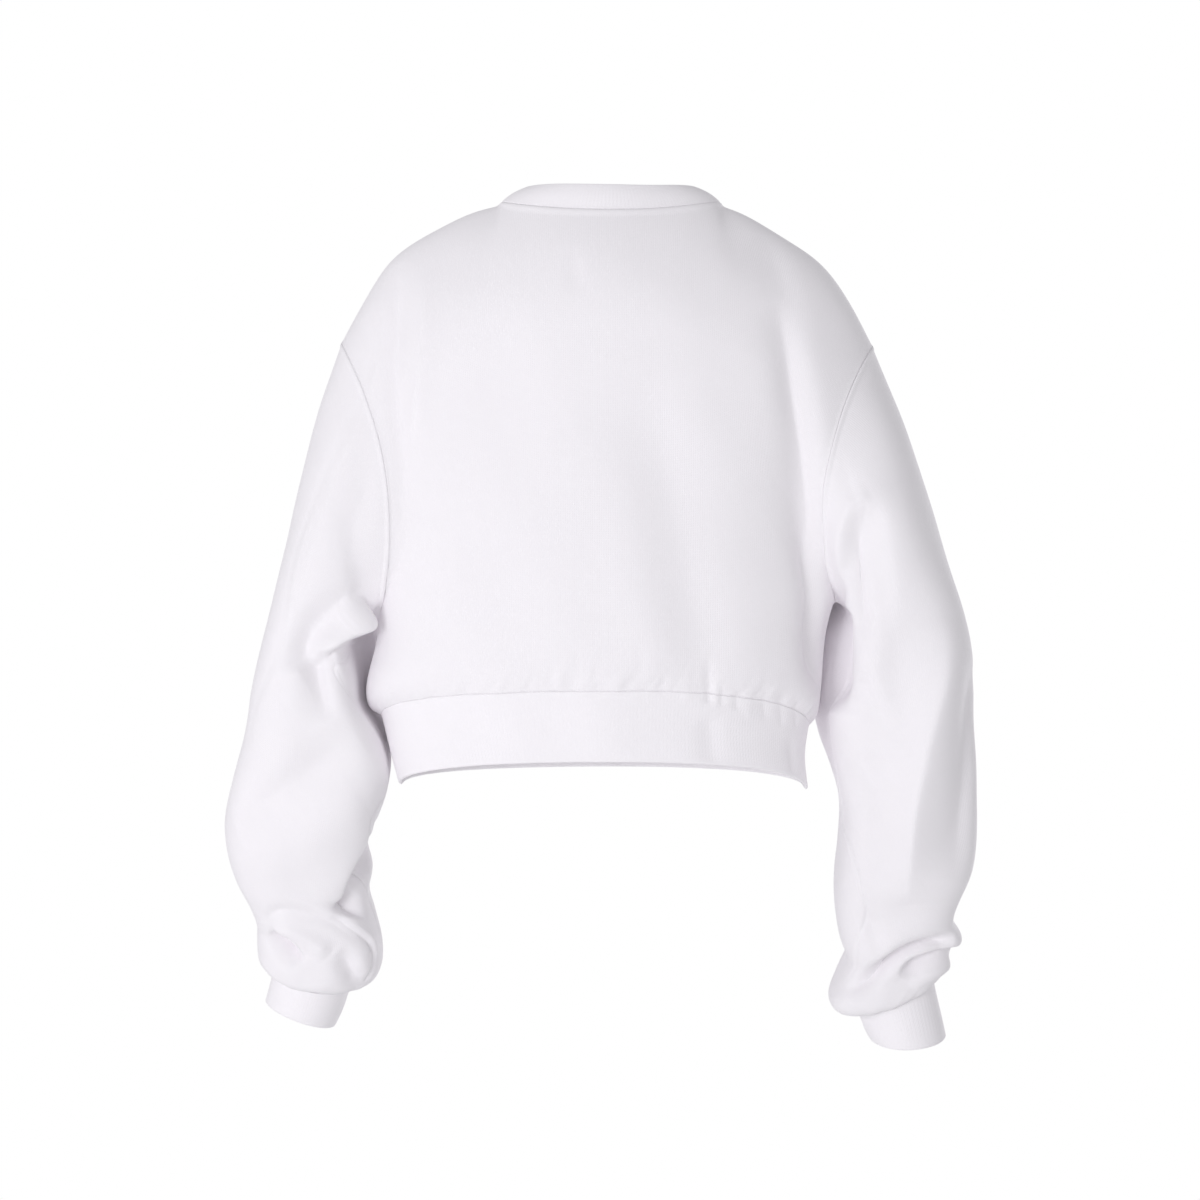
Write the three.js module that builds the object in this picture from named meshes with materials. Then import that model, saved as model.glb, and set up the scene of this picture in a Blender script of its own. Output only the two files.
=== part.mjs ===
// A cropped, drop-shoulder crew-neck sweatshirt in heavy cotton fleece, kept in the hollow form it has when worn.
// Eight cut pieces, each a thin wall: front, back, two sleeves, neck rib, waistband and two cuffs.
// Units are millimetres. +X is the wearer's left, +Y the back, +Z up.
// The origin is the middle of the neck opening, level with the inner ends of the shoulder seams.
import * as THREE from "three";

// ---- driving dimensions -------------------------------------------------------------------------------------
const FLEECE = 1.8; // wall of the body and sleeves
const RIB = 2.8; // wall of the neck rib, waistband and cuffs, each folded double
const SEAM_GAP = 0.32; // between two pieces at a seam

// How finely each stretch is cut: rows up the body, columns across it, rings along a sleeve and round a band.
const ROWS = { side: 5, underArm: 6, overArm: 7 };
const COLUMNS = { backNeck: 8, frontNeck: 10, shoulder: 6 };
const RINGS = { sleeve: 23, cuff: 2, band: 3, collar: 2 };

// Where the neck ends and the shoulder starts, as a share of the half panel.
const NECK_SHARE = 0.56;
const CROSS_ROUND = 0.72; // power on the cosine that gives the torso its flattened oval
// A sleeve's section is the curve |x|^n + |y|^n = 1: an oval with n = 2, and flatter sided with more.
const OVAL = 2;
const FLATTENED = 2.8;

// The neck seam, an oval: half width, and its height and depth at the back, sides and front.
const NECK = { halfWidth: 88.5, sideY: 6, backY: 58, backZ: -8.5, frontY: -86, frontZ: -92, sideZ: 1 };
// The free edge of the neck rib.
const NECK_EDGE = { halfWidth: 67, sideY: 5, backY: 50, backZ: 12, frontY: -67, frontZ: -74, sideZ: 15.5 };

// Each side of the garment. It isn't symmetrical, because it hangs a little to the wearer's left.
const LEFT = {
  sign: 1,
  armhole: { topX: 220, topZ: -114, bottomX: 190, bottomZ: -343, saddle: 25, back: 72, front: 68 },
  shoulder: [
    // x, y, z along the top of the shoulder, from the neck to the sleeve seam
    { x: 88.5, y: 6, z: 1 },
    { x: 120, y: 8, z: -9.5 },
    { x: 154, y: 8, z: -28.5 },
    { x: 180, y: 6, z: -48.5 },
    { x: 200, y: 3, z: -78.5 },
    { x: 220, y: 0, z: -114 },
  ],
  flank: [
    // x and z of the body's side, from the waistband seam up to the armhole: it blouses out over the band
    { x: 186, z: -417 },
    { x: 197, z: -413 },
    { x: 200, z: -399 },
    { x: 196, z: -380 },
    { x: 191, z: -361 },
    { x: 190, z: -343 },
  ],
  band: [
    // x and z of the waistband's side, from its seam to its hem
    { x: 186, z: -417 },
    { x: 179, z: -446 },
    { x: 172, z: -475 },
  ],
};
const RIGHT = {
  sign: -1,
  armhole: { topX: 213, topZ: -117, bottomX: 183, bottomZ: -324, saddle: 25, back: 72, front: 68 },
  shoulder: [
    { x: 88.5, y: 6, z: 1 },
    { x: 113, y: 8, z: -9.5 },
    { x: 146, y: 8, z: -29.5 },
    { x: 171, y: 6, z: -49.5 },
    { x: 192, y: 3, z: -80 },
    { x: 213, y: 0, z: -117 },
  ],
  flank: [
    { x: 161, z: -428 },
    { x: 168.5, z: -421 },
    { x: 171, z: -404 },
    { x: 173, z: -380 },
    { x: 175.5, z: -352 },
    { x: 183, z: -324 },
  ],
  band: [
    { x: 161, z: -428 },
    { x: 157.5, z: -453 },
    { x: 160, z: -479 },
  ],
};

// The middle line of the back and of the front, and of the waistband below each.
const BACK = {
  sign: 1,
  neck: { y: NECK.backY, z: NECK.backZ },
  yoke: { y: 98, z: -108 }, // level with the middle of the armhole
  underArm: { y: 110, z: -318 },
  seam: { y: 101, z: -397 },
  bulge: 3,
  hem: { y: 99, z: -453 },
  neckSpan: COLUMNS.backNeck,
};
const FRONT = {
  sign: -1,
  neck: { y: NECK.frontY, z: NECK.frontZ },
  yoke: { y: -122, z: -196 },
  underArm: { y: -123, z: -330 },
  seam: { y: -112, z: -408 },
  bulge: 6,
  hem: { y: -108, z: -465 },
  neckSpan: COLUMNS.frontNeck,
};

// Sections down each sleeve after the armhole. outX, outZ is the section's outer end and inX, inZ its inner end,
// seen from the back; y is its middle, and back and front are its half depths. lean is how far its front
// leans in towards the body.
const LEFT_SLEEVE = [
  { outX: 238, outZ: -168, inX: 208, inZ: -341, y: 1, back: 73, front: 70, lean: 10 },
  { outX: 252, outZ: -218, inX: 208, inZ: -364, y: 2, back: 72, front: 70, lean: 42 },
  { outX: 265, outZ: -275, inX: 207, inZ: -387, y: 3, back: 69, front: 68, lean: 38 },
  { outX: 277, outZ: -332, inX: 205, inZ: -408, y: 3, back: 66, front: 65, lean: 28 },
  { outX: 289, outZ: -383, inX: 193, inZ: -430, y: 2, back: 62, front: 62, lean: 30 },
  { outX: 300, outZ: -427, inX: 184, inZ: -453, y: -1, back: 61, front: 60, lean: 20 },
  { outX: 309, outZ: -466, inX: 183, inZ: -476, y: -4, back: 59, front: 58, lean: 6 },
  { outX: 315, outZ: -500, inX: 191, inZ: -500, y: -9, back: 56, front: 55, lean: 0 },
  { outX: 314, outZ: -527, inX: 201, inZ: -521, y: -14, back: 54, front: 53, lean: 0 },
  { outX: 308, outZ: -550, inX: 197, inZ: -545, y: -20, back: 51, front: 50, lean: 0 },
  { outX: 297, outZ: -572, inX: 201, inZ: -564, y: -26, back: 48, front: 48, lean: 0 },
  { outX: 291, outZ: -589, inX: 195, inZ: -586, y: -31, back: 45, front: 47, lean: 0 },
  { outX: 291, outZ: -605, inX: 190, inZ: -606, y: -34, back: 44, front: 47, lean: 0 },
  { outX: 290, outZ: -620, inX: 190, inZ: -626, y: -37, back: 45, front: 46, lean: 0 },
  { outX: 284, outZ: -628, inX: 199, inZ: -641, y: -39, back: 43, front: 44, lean: 0 },
  { outX: 279, outZ: -630, inX: 217, inZ: -646, y: -40, back: 35, front: 35, lean: 0 },
];
const RIGHT_SLEEVE = [
  { outX: 236, outZ: -173, inX: 193, inZ: -332, y: 1, back: 73, front: 70, lean: 8 },
  { outX: 252, outZ: -222, inX: 192, inZ: -352, y: 2, back: 72, front: 70, lean: 50 },
  { outX: 268, outZ: -275, inX: 187, inZ: -380, y: 3, back: 69, front: 68, lean: 60 },
  { outX: 285, outZ: -332, inX: 181, inZ: -410, y: 3, back: 66, front: 65, lean: 56 },
  { outX: 293, outZ: -383, inX: 180, inZ: -437, y: 2, back: 62, front: 62, lean: 42 },
  { outX: 297, outZ: -430, inX: 185, inZ: -463, y: -1, back: 61, front: 60, lean: 22 },
  { outX: 298, outZ: -470, inX: 189.5, inZ: -490, y: -5, back: 59, front: 58, lean: 6 },
  { outX: 298.5, outZ: -508, inX: 187.5, inZ: -522, y: -10, back: 57, front: 56, lean: 0 },
  { outX: 296, outZ: -540, inX: 185, inZ: -552, y: -16, back: 55, front: 54, lean: 0 },
  { outX: 286, outZ: -566, inX: 186, inZ: -578, y: -22, back: 50, front: 50, lean: 0 },
  { outX: 280, outZ: -583, inX: 191, inZ: -605, y: -27, back: 46, front: 47, lean: 0 },
  { outX: 288, outZ: -597, inX: 196, inZ: -619, y: -31, back: 44, front: 46, lean: 0 },
  { outX: 283, outZ: -611, inX: 188, inZ: -637, y: -35, back: 43, front: 46, lean: 0 },
  { outX: 278, outZ: -624, inX: 181, inZ: -655, y: -38, back: 44, front: 46, lean: 0 },
  { outX: 273, outZ: -633, inX: 189, inZ: -667, y: -40, back: 42, front: 43, lean: 0 },
  { outX: 268, outZ: -637, inX: 205, inZ: -668, y: -41, back: 35, front: 35, lean: 0 },
];
// How much of the armhole's saddle each section from the first still has.
const SADDLE_SHARES = [0.62, 0.3, 0.1];
// Sections of each cuff below its seam, in the same columns.
const LEFT_CUFF = [
  { outX: 281, outZ: -641, inX: 222, inZ: -661, y: -42, back: 34, front: 34, lean: 0 },
  { outX: 285, outZ: -657, inX: 230, inZ: -677, y: -44, back: 34, front: 34, lean: 0 },
];
const RIGHT_CUFF = [
  { outX: 273, outZ: -662, inX: 211, inZ: -682, y: -44, back: 35, front: 35, lean: 0 },
  { outX: 277, outZ: -686, inX: 217, inZ: -690, y: -47, back: 35, front: 35, lean: 0 },
];

// The largest folds: each runs from one place on the cloth to another, is wide to either side, and sinks deep into
// the cloth, or stands out of it where deep is negative.
const FOLDS = [
  // back of the body
  { from: [-148, 78, -150], to: [-170, 60, -335], wide: 16, deep: 11 },
  { from: [-130, 88, -190], to: [-152, 70, -350], wide: 14, deep: -5 },
  { from: [172, 62, -105], to: [170, 76, -228], wide: 15, deep: 9 },
  { from: [152, 66, -85], to: [158, 79, -170], wide: 12, deep: -3 },
  { from: [-28, 102, -150], to: [-80, 96, -398], wide: 30, deep: 6 },
  // front of the body
  { from: [160, -60, -110], to: [168, -72, -250], wide: 16, deep: 8 },
  { from: [-156, -60, -120], to: [-168, -70, -262], wide: 16, deep: 9 },
  { from: [40, -120, -205], to: [98, -112, -385], wide: 30, deep: 6 },
  // left sleeve
  { from: [202, 64, -187], to: [214, 70, -316], wide: 16, deep: 5 },
  { from: [196, 52, -338], to: [252, 75, -352], wide: 13, deep: -6 },
  { from: [203, 40, -366], to: [236, 70, -408], wide: 14, deep: 9 },
  { from: [204, -60, -200], to: [228, -68, -330], wide: 17, deep: 7 },
  { from: [214, -60, -425], to: [268, -66, -446], wide: 14, deep: 6 },
  { from: [286, 20, -594], to: [236, 12, -624], wide: 12, deep: 5 },
  // right sleeve
  { from: [-206, 74, -236], to: [-216, 71, -372], wide: 14, deep: -5 },
  { from: [-189, 72, -250], to: [-200, 58, -335], wide: 12, deep: 6 },
  { from: [-200, 50, -366], to: [-236, 67, -456], wide: 20, deep: 5 },
  { from: [-202, -58, -210], to: [-226, -69, -342], wide: 17, deep: 7 },
  { from: [-208, -62, -432], to: [-264, -62, -452], wide: 14, deep: 6 },
  { from: [-200, 10, -636], to: [-280, 16, -598], wide: 11, deep: 6 },
];

// ---- small helpers ------------------------------------------------------------------------------------------
const HALF_TURN = Math.PI;
const QUARTER_TURN = Math.PI / 2;
const mix = (a, b, share) => a + (b - a) * share;
const ladder = (from, to, steps) => Array.from({ length: steps + 1 }, (_, i) => mix(from, to, i / steps));

/** A smooth curve through the rows of a table, at a place counted in rows. */
function along(rows, place) {
  const last = rows.length - 1;
  const i = Math.min(Math.floor(place), last - 1);
  const s = place - i;
  const out = {};
  for (const key of Object.keys(rows[0])) {
    const a = rows[i][key];
    const b = rows[i + 1][key];
    const before = i > 0 ? rows[i - 1][key] : 2 * a - b;
    const after = i + 2 <= last ? rows[i + 2][key] : 2 * b - a;
    const c = (b - before) / 2;
    const d = (after - a) / 2;
    out[key] = a + s * (c + s * (3 * (b - a) - 2 * c - d + s * (c + d - 2 * (b - a))));
  }
  return out;
}

/** An oval round the neck: half 1 is the back half, -1 the front half; turn runs from -90 to 90 degrees. */
function neckOval(oval, half, turn) {
  const c = Math.pow(Math.max(Math.cos(turn), 0), 0.9);
  const y = half > 0 ? oval.backY : oval.frontY;
  const z = half > 0 ? oval.backZ : oval.frontZ;
  return new THREE.Vector3(
    oval.halfWidth * Math.sin(turn),
    mix(oval.sideY, y, c),
    mix(oval.sideZ, z, Math.pow(c, half > 0 ? 2 : 1.25)),
  );
}

/** A point of the armhole seam: turn 0 is the shoulder, 90 degrees the back or front, 180 under the arm. */
function armholePoint(side, half, turn) {
  const a = side.armhole;
  const s = Math.sin(turn);
  const c = Math.cos(turn);
  return {
    x: mix(a.bottomX, a.topX, (1 + c) / 2) - a.saddle * s * s,
    y: half * (half > 0 ? a.back : a.front) * s,
    z: mix(a.bottomZ, a.topZ, (1 + c) / 2),
  };
}

// ---- the body -----------------------------------------------------------------------------------------------
/** The depth and height of a panel's middle line, at a share of the way from the waistband seam to the yoke. */
function middleLine(panel, level) {
  const rows = [panel.seam, panel.underArm, panel.yoke];
  return along(rows, Math.min(level * 2, 2));
}

/** A point of a panel on or below the yoke, on the half of one side. across runs from 0, the middle, to 1. */
function lowerPoint(panel, side, across, level) {
  const middle = middleLine(panel, level);
  let end;
  if (level >= 0.5) {
    end = armholePoint(side, panel.sign, HALF_TURN * (1.5 - level));
  } else {
    const share = level * 2;
    end = { ...along(side.flank, share * (side.flank.length - 1)), y: 0 };
    middle.y += panel.sign * panel.bulge * Math.sin(HALF_TURN * Math.sqrt(share));
  }
  const reach = Math.pow(Math.min(Math.abs(end.y / middle.y), 1), 1 / CROSS_ROUND);
  const fullTurn = Math.acos(reach);
  const turn = across * fullTurn;
  return {
    x: (end.x * Math.sin(turn)) / Math.sin(fullTurn),
    y: middle.y * Math.pow(Math.max(Math.cos(turn), 0), CROSS_ROUND),
    z: mix(middle.z, end.z, Math.pow(across, 2.2)),
  };
}

/** A point of a panel's top edge: the neck seam, then the shoulder seam. */
function topPoint(panel, side, across) {
  if (across <= NECK_SHARE) {
    const p = neckOval(NECK, panel.sign, (QUARTER_TURN * across) / NECK_SHARE);
    return { x: p.x, y: p.y, z: p.z };
  }
  const share = (across - NECK_SHARE) / (1 - NECK_SHARE);
  return along(side.shoulder, share * (side.shoulder.length - 1));
}

/** A point of a panel above the yoke, where it turns over the shoulder. rise runs from 0, the yoke, to 1, the top. */
function upperPoint(panel, side, across, rise) {
  const yoke = lowerPoint(panel, side, across, 1);
  const top = topPoint(panel, side, across);
  const turn = QUARTER_TURN * (1 - rise);
  const a = side.armhole;
  const half = (a.topX - a.bottomX) / 2;
  const ease = (half * (1 - Math.cos(turn)) + a.saddle * Math.sin(turn) ** 2) / (half + a.saddle);
  const r = 1 - rise;
  const round = THREE.MathUtils.smoothstep(across, NECK_SHARE * 0.55, NECK_SHARE * 1.2);
  const full = mix(0.78, 1, THREE.MathUtils.smoothstep(across, NECK_SHARE, 1));
  const out = mix(r * (2 - r), Math.sin(turn), round);
  const down = mix(r, Math.pow(1 - Math.cos(turn), full), round);
  return { x: mix(top.x, yoke.x, mix(out, ease, round)), y: mix(top.y, yoke.y, out), z: mix(top.z, yoke.z, down) };
}

/** A panel's columns from the wearer's right to left, each a side and how far across the half panel it is. */
function columnsOf(panel) {
  const half = [
    ...ladder(0, NECK_SHARE, panel.neckSpan / 2),
    ...ladder(NECK_SHARE, 1, COLUMNS.shoulder).slice(1),
  ];
  return [...half.slice(1).reverse().map((s) => [RIGHT, s]), ...half.map((s) => [LEFT, s])];
}

/** The grid of a whole panel: rows from the waistband seam to the top. */
function panelGrid(panel) {
  const columns = columnsOf(panel);
  const lower = [];
  for (let j = 0; j < ROWS.side; j++) lower.push((0.5 * j) / ROWS.side);
  for (let j = 0; j < ROWS.underArm; j++) lower.push(0.5 + (0.5 * j) / ROWS.underArm);
  const rows = lower.map((level) => (side, s) => lowerPoint(panel, side, s, level));
  for (let j = 0; j <= ROWS.overArm; j++) rows.push((side, s) => upperPoint(panel, side, s, j / ROWS.overArm));
  return rows.map((row) =>
    columns.map(([side, s]) => {
      const p = row(side, s);
      return new THREE.Vector3(side.sign * p.x, p.y, p.z);
    }),
  );
}

// ---- sleeves and bands --------------------------------------------------------------------------------------
/** The loop of points where the two panels meet another piece: the back's edge, then the front's, in one turn. */
const loopOf = (back, front) => [...back, ...front.slice(1, -1).reverse()];

/**
 * One section of a sleeve or cuff: an oval between its outer and inner ends, flatter sided the larger its power,
 * square to the way the arm runs.
 */
function section(side, s, heading, turns) {
  const middle = new THREE.Vector3((side.sign * (s.outX + s.inX)) / 2, s.y, (s.outZ + s.inZ) / 2);
  const half = new THREE.Vector3((side.sign * (s.outX - s.inX)) / 2, 0, (s.outZ - s.inZ) / 2);
  const depth = new THREE.Vector3().crossVectors(half, heading).normalize();
  if (depth.y < 0) depth.negate();
  return turns.map(([up, turn]) => {
    const [across, deep] = [Math.cos(turn), Math.sin(turn)];
    const reach = (Math.abs(across) ** s.power + Math.abs(deep) ** s.power) ** (-1 / s.power);
    const point = middle.clone().addScaledVector(half, reach * across);
    point.addScaledVector(depth, reach * deep * (up > 0 ? s.back : -s.front));
    if (s.saddle) point.x -= side.sign * s.saddle * Math.sin(turn) ** 2;
    if (up < 0) point.x -= (side.sign * s.lean * Math.sin(turn) ** 2 * (1 - Math.cos(turn))) / 2;
    return point;
  });
}

/** The armhole seam as one loop of the two panels' edges: over the shoulder, down the back, and up the front. */
function armholeLoop(back, front, left) {
  const edge = (grid) => grid.slice(ROWS.side).map((row) => (left ? row.at(-1) : row[0])).reverse();
  return loopOf(edge(back), edge(front));
}

/** The armhole as a section, for the sleeve's middle line. */
function armholeSection(side) {
  const a = side.armhole;
  return {
    outX: a.topX, outZ: a.topZ, inX: a.bottomX, inZ: a.bottomZ, y: 0,
    back: a.back, front: a.front, lean: 0, saddle: a.saddle, power: OVAL,
  };
}

/** Turns round a sleeve that meet the body's rows: over the shoulder, down the back, and up the front. */
function sleeveTurns() {
  const half = [];
  for (let j = 0; j < ROWS.overArm; j++) half.push((QUARTER_TURN * j) / ROWS.overArm);
  for (let j = 0; j <= ROWS.underArm; j++) half.push(QUARTER_TURN * (1 + j / ROWS.underArm));
  const front = half.slice(1, -1).reverse();
  return [...half.map((t) => [1, t]), ...front.map((t) => [-1, t])];
}

/** Rings along a table of sections. */
function tubeRings(side, table, places, turns) {
  const centre = (place) => {
    const s = along(table, Math.min(Math.max(place, 0), table.length - 1));
    return new THREE.Vector3((side.sign * (s.outX + s.inX)) / 2, s.y, (s.outZ + s.inZ) / 2);
  };
  return places.map((place) => {
    const heading = centre(place + 0.5).sub(centre(place - 0.5)).normalize();
    heading.y *= Math.min(1, place / 3); // a sleeve leaves its armhole square to the body
    return section(side, along(table, place), heading, turns);
  });
}

/** The rings of one sleeve from its armhole seam, and of the cuff that hangs from its last ring. */
function sleeveAndCuff(side, seamLoop, sleeveTable, cuffTable) {
  const turns = sleeveTurns();
  const open = sleeveTable.map((s, i) => ({
    ...s,
    saddle: side.armhole.saddle * (SADDLE_SHARES[i] ?? 0),
    power: mix(OVAL, FLATTENED, Math.min(1, (i + 1) / 4, (sleeveTable.length - 1 - i) / 3)),
  }));
  const table = [armholeSection(side), ...open, ...cuffTable.map((s) => ({ ...s, saddle: 0, power: OVAL }))];
  const wrist = open.length;
  return {
    sleeve: [seamLoop, ...tubeRings(side, table, ladder(0, wrist, RINGS.sleeve).slice(1), turns)],
    cuff: tubeRings(side, table, ladder(wrist, table.length - 1, RINGS.cuff), turns),
  };
}

/** The waistband: from the body's lower edge to its own hem. */
function waistbandRings(seamLoop) {
  const rings = [seamLoop];
  for (let k = 1; k <= RINGS.band; k++) {
    const share = k / RINGS.band;
    const edge = (panel) =>
      columnsOf(panel).map(([side, s]) => {
        const end = along(side.band, share * (side.band.length - 1));
        const turn = s * QUARTER_TURN;
        return new THREE.Vector3(
          side.sign * end.x * Math.sin(turn),
          mix(panel.seam.y, panel.hem.y, share) * Math.pow(Math.max(Math.cos(turn), 0), CROSS_ROUND),
          mix(mix(panel.seam.z, panel.hem.z, share), end.z, Math.pow(s, 2.2)),
        );
      });
    rings.push(loopOf(edge(BACK), edge(FRONT)));
  }
  return rings;
}

/** The neck rib: from the neck seam to its free edge. */
function collarRings(seamLoop) {
  const rings = [seamLoop];
  const half = (count, sign) => ladder(-QUARTER_TURN, QUARTER_TURN, count).map((t) => neckOval(NECK_EDGE, sign, t));
  const edge = loopOf(half(COLUMNS.backNeck, 1), half(COLUMNS.frontNeck, -1));
  for (let k = 1; k <= RINGS.collar; k++) {
    rings.push(seamLoop.map((p, i) => p.clone().lerp(edge[i], k / RINGS.collar)));
  }
  return rings;
}

// ---- from surfaces to walls ---------------------------------------------------------------------------------
/** A name for a place, to a hundredth of a millimetre and off the round numbers the tables are full of. */
const keyOf = (p) => [p.x, p.y, p.z].map((v) => Math.round(v * 100 + 0.137)).join();

/** Adds each cell's normal to its corners, by place, so that pieces which share a seam share its normals. */
function addNormals(piece, sums) {
  const { grid, closed } = piece;
  const n = grid[0].length;
  for (let j = 0; j + 1 < grid.length; j++) {
    for (let i = 0; i < (closed ? n : n - 1); i++) {
      const [a, b, c, d] = [grid[j][i], grid[j][(i + 1) % n], grid[j + 1][(i + 1) % n], grid[j + 1][i]];
      const normal = new THREE.Vector3().crossVectors(c.clone().sub(a), d.clone().sub(b));
      normal.setLength(piece.flip ? -1 : 1);
      for (const p of [a, b, c, d]) {
        const key = keyOf(p);
        if (!sums.has(key)) sums.set(key, new THREE.Vector3());
        sums.get(key).add(normal);
      }
    }
  }
}

/** How far the folds sink the cloth at a place: deepest along the middle of each fold, and fading to its ends. */
function foldDepth(p) {
  let depth = 0;
  for (const fold of FOLDS) {
    const from = new THREE.Vector3(...fold.from);
    const line = new THREE.Vector3(...fold.to).sub(from);
    const share = p.clone().sub(from).dot(line) / line.lengthSq();
    if (share <= 0 || share >= 1) continue;
    const off = p.distanceTo(from.addScaledVector(line, share)) / fold.wide;
    depth += fold.deep * Math.exp(-off * off) * Math.sin(HALF_TURN * share);
  }
  return depth;
}

/** Each cell's normal added up at its corners, over all the pieces. */
function normalsOf(pieces) {
  const sums = new Map();
  for (const piece of pieces) addNormals(piece, sums);
  return (p) => sums.get(keyOf(p)).clone().normalize();
}

/** The closed wall of a piece: its surface moved half the thickness each way, with its edges drawn in by half a seam. */
function wallOf(piece, normalAt) {
  const { grid, closed, thick } = piece;
  const m = grid.length;
  const n = grid[0].length;
  const at = (j, i) => grid[Math.min(Math.max(j, 0), m - 1)][closed ? (i + n) % n : Math.min(Math.max(i, 0), n - 1)];
  const draw = (q, j, i, dj, di) => {
    const alongSeam = at(j + di, i + dj).clone().sub(at(j - di, i - dj)).normalize();
    const inwards = at(j + dj, i + di).clone().sub(at(j, i));
    q.add(inwards.addScaledVector(alongSeam, -inwards.dot(alongSeam)).setLength(SEAM_GAP / 2));
  };
  const inset = grid.map((row, j) =>
    row.map((p, i) => {
      const q = p.clone();
      if (j === 0) draw(q, j, i, 1, 0);
      if (j === m - 1) draw(q, j, i, -1, 0);
      if (!closed && i === 0) draw(q, j, i, 0, 1);
      if (!closed && i === n - 1) draw(q, j, i, 0, -1);
      return q;
    }),
  );
  const positions = [];
  for (const out of [0.5, -0.5]) {
    for (let j = 0; j < m; j++) {
      for (let i = 0; i < n; i++) {
        const p = inset[j][i].clone().addScaledVector(normalAt(grid[j][i]), out * thick);
        positions.push(p.x, p.y, p.z);
      }
    }
  }
  const faces = [];
  const place = (k) => new THREE.Vector3().fromArray(positions, 3 * k);
  const quad = (a, b, c, d) => faces.push(a, b, c, a, c, d);
  // Two pieces split the facing edges of a seam the same way, so that twisted edges don't cut into each other.
  const edgeQuad = (a, b, c, d) => {
    if (place(a).distanceTo(place(c)) <= place(b).distanceTo(place(d))) quad(a, b, c, d);
    else quad(b, c, d, a);
  };
  const outer = (j, i) => j * n + (i % n);
  const inner = (j, i) => m * n + outer(j, i);
  const columns = closed ? n : n - 1;
  for (let i = 0; i < columns; i++) {
    for (let j = 0; j + 1 < m; j++) {
      const straight = at(j, i).distanceTo(at(j + 1, i + 1)) <= at(j, i + 1).distanceTo(at(j + 1, i));
      for (const face of [outer, inner]) {
        const corners = [face(j, i), face(j, i + 1), face(j + 1, i + 1), face(j + 1, i)];
        if (face === inner) corners.reverse();
        if (straight === (face === outer)) quad(...corners);
        else quad(...corners.slice(1), corners[0]);
      }
    }
    edgeQuad(outer(0, i + 1), outer(0, i), inner(0, i), inner(0, i + 1));
    edgeQuad(outer(m - 1, i), outer(m - 1, i + 1), inner(m - 1, i + 1), inner(m - 1, i));
  }
  if (!closed) {
    for (let j = 0; j + 1 < m; j++) {
      edgeQuad(outer(j, 0), outer(j + 1, 0), inner(j + 1, 0), inner(j, 0));
      edgeQuad(outer(j + 1, n - 1), outer(j, n - 1), inner(j, n - 1), inner(j + 1, n - 1));
    }
  }
  if (piece.flip) {
    for (let k = 0; k < faces.length; k += 3) [faces[k + 1], faces[k + 2]] = [faces[k + 2], faces[k + 1]];
  }
  const geometry = new THREE.BufferGeometry();
  geometry.setAttribute("position", new THREE.Float32BufferAttribute(positions, 3));
  geometry.setIndex(faces);
  return geometry;
}

// ---- the garment --------------------------------------------------------------------------------------------
const backPanel = panelGrid(BACK);
const frontPanel = panelGrid(FRONT);
const left = sleeveAndCuff(LEFT, armholeLoop(backPanel, frontPanel, true), LEFT_SLEEVE, LEFT_CUFF);
const right = sleeveAndCuff(RIGHT, armholeLoop(backPanel, frontPanel, false), RIGHT_SLEEVE, RIGHT_CUFF);
const seamLoop = loopOf(backPanel[0], frontPanel[0]);
const neckPart = (grid) => grid.at(-1).slice(COLUMNS.shoulder, grid[0].length - COLUMNS.shoulder);
const neckLoop = loopOf(neckPart(backPanel), neckPart(frontPanel));

const fleece = new THREE.MeshStandardMaterial({ color: 0xf1eff4, roughness: 0.92, metalness: 0 });
const rib = new THREE.MeshStandardMaterial({ color: 0xf4f2f6, roughness: 0.9, metalness: 0 });

const pieces = [
  { name: "back", grid: backPanel, closed: false, flip: true, thick: FLEECE, material: fleece },
  { name: "front", grid: frontPanel, closed: false, flip: false, thick: FLEECE, material: fleece },
  { name: "sleeve_left", grid: left.sleeve, closed: true, flip: true, thick: FLEECE, material: fleece },
  { name: "sleeve_right", grid: right.sleeve, closed: true, flip: false, thick: FLEECE, material: fleece },
  {
    name: "waistband",
    grid: waistbandRings(seamLoop),
    closed: true, flip: false, thick: RIB, material: rib,
  },
  { name: "collar", grid: collarRings(neckLoop), closed: true, flip: true, thick: RIB, material: rib },
  { name: "cuff_left", grid: left.cuff, closed: true, flip: true, thick: RIB, material: rib },
  { name: "cuff_right", grid: right.cuff, closed: true, flip: false, thick: RIB, material: rib },
];

const smooth = normalsOf(pieces);
const folded = pieces.map((piece) => ({
  ...piece,
  grid: piece.grid.map((row) => row.map((p) => p.clone().addScaledVector(smooth(p), -foldDepth(p)))),
}));
const creased = normalsOf(folded);

const sweatshirt = new THREE.Group();
for (const piece of folded) {
  const mesh = new THREE.Mesh(wallOf(piece, creased), piece.material);
  mesh.name = piece.name;
  sweatshirt.add(mesh);
}

export default sweatshirt;
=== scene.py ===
import math

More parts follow.
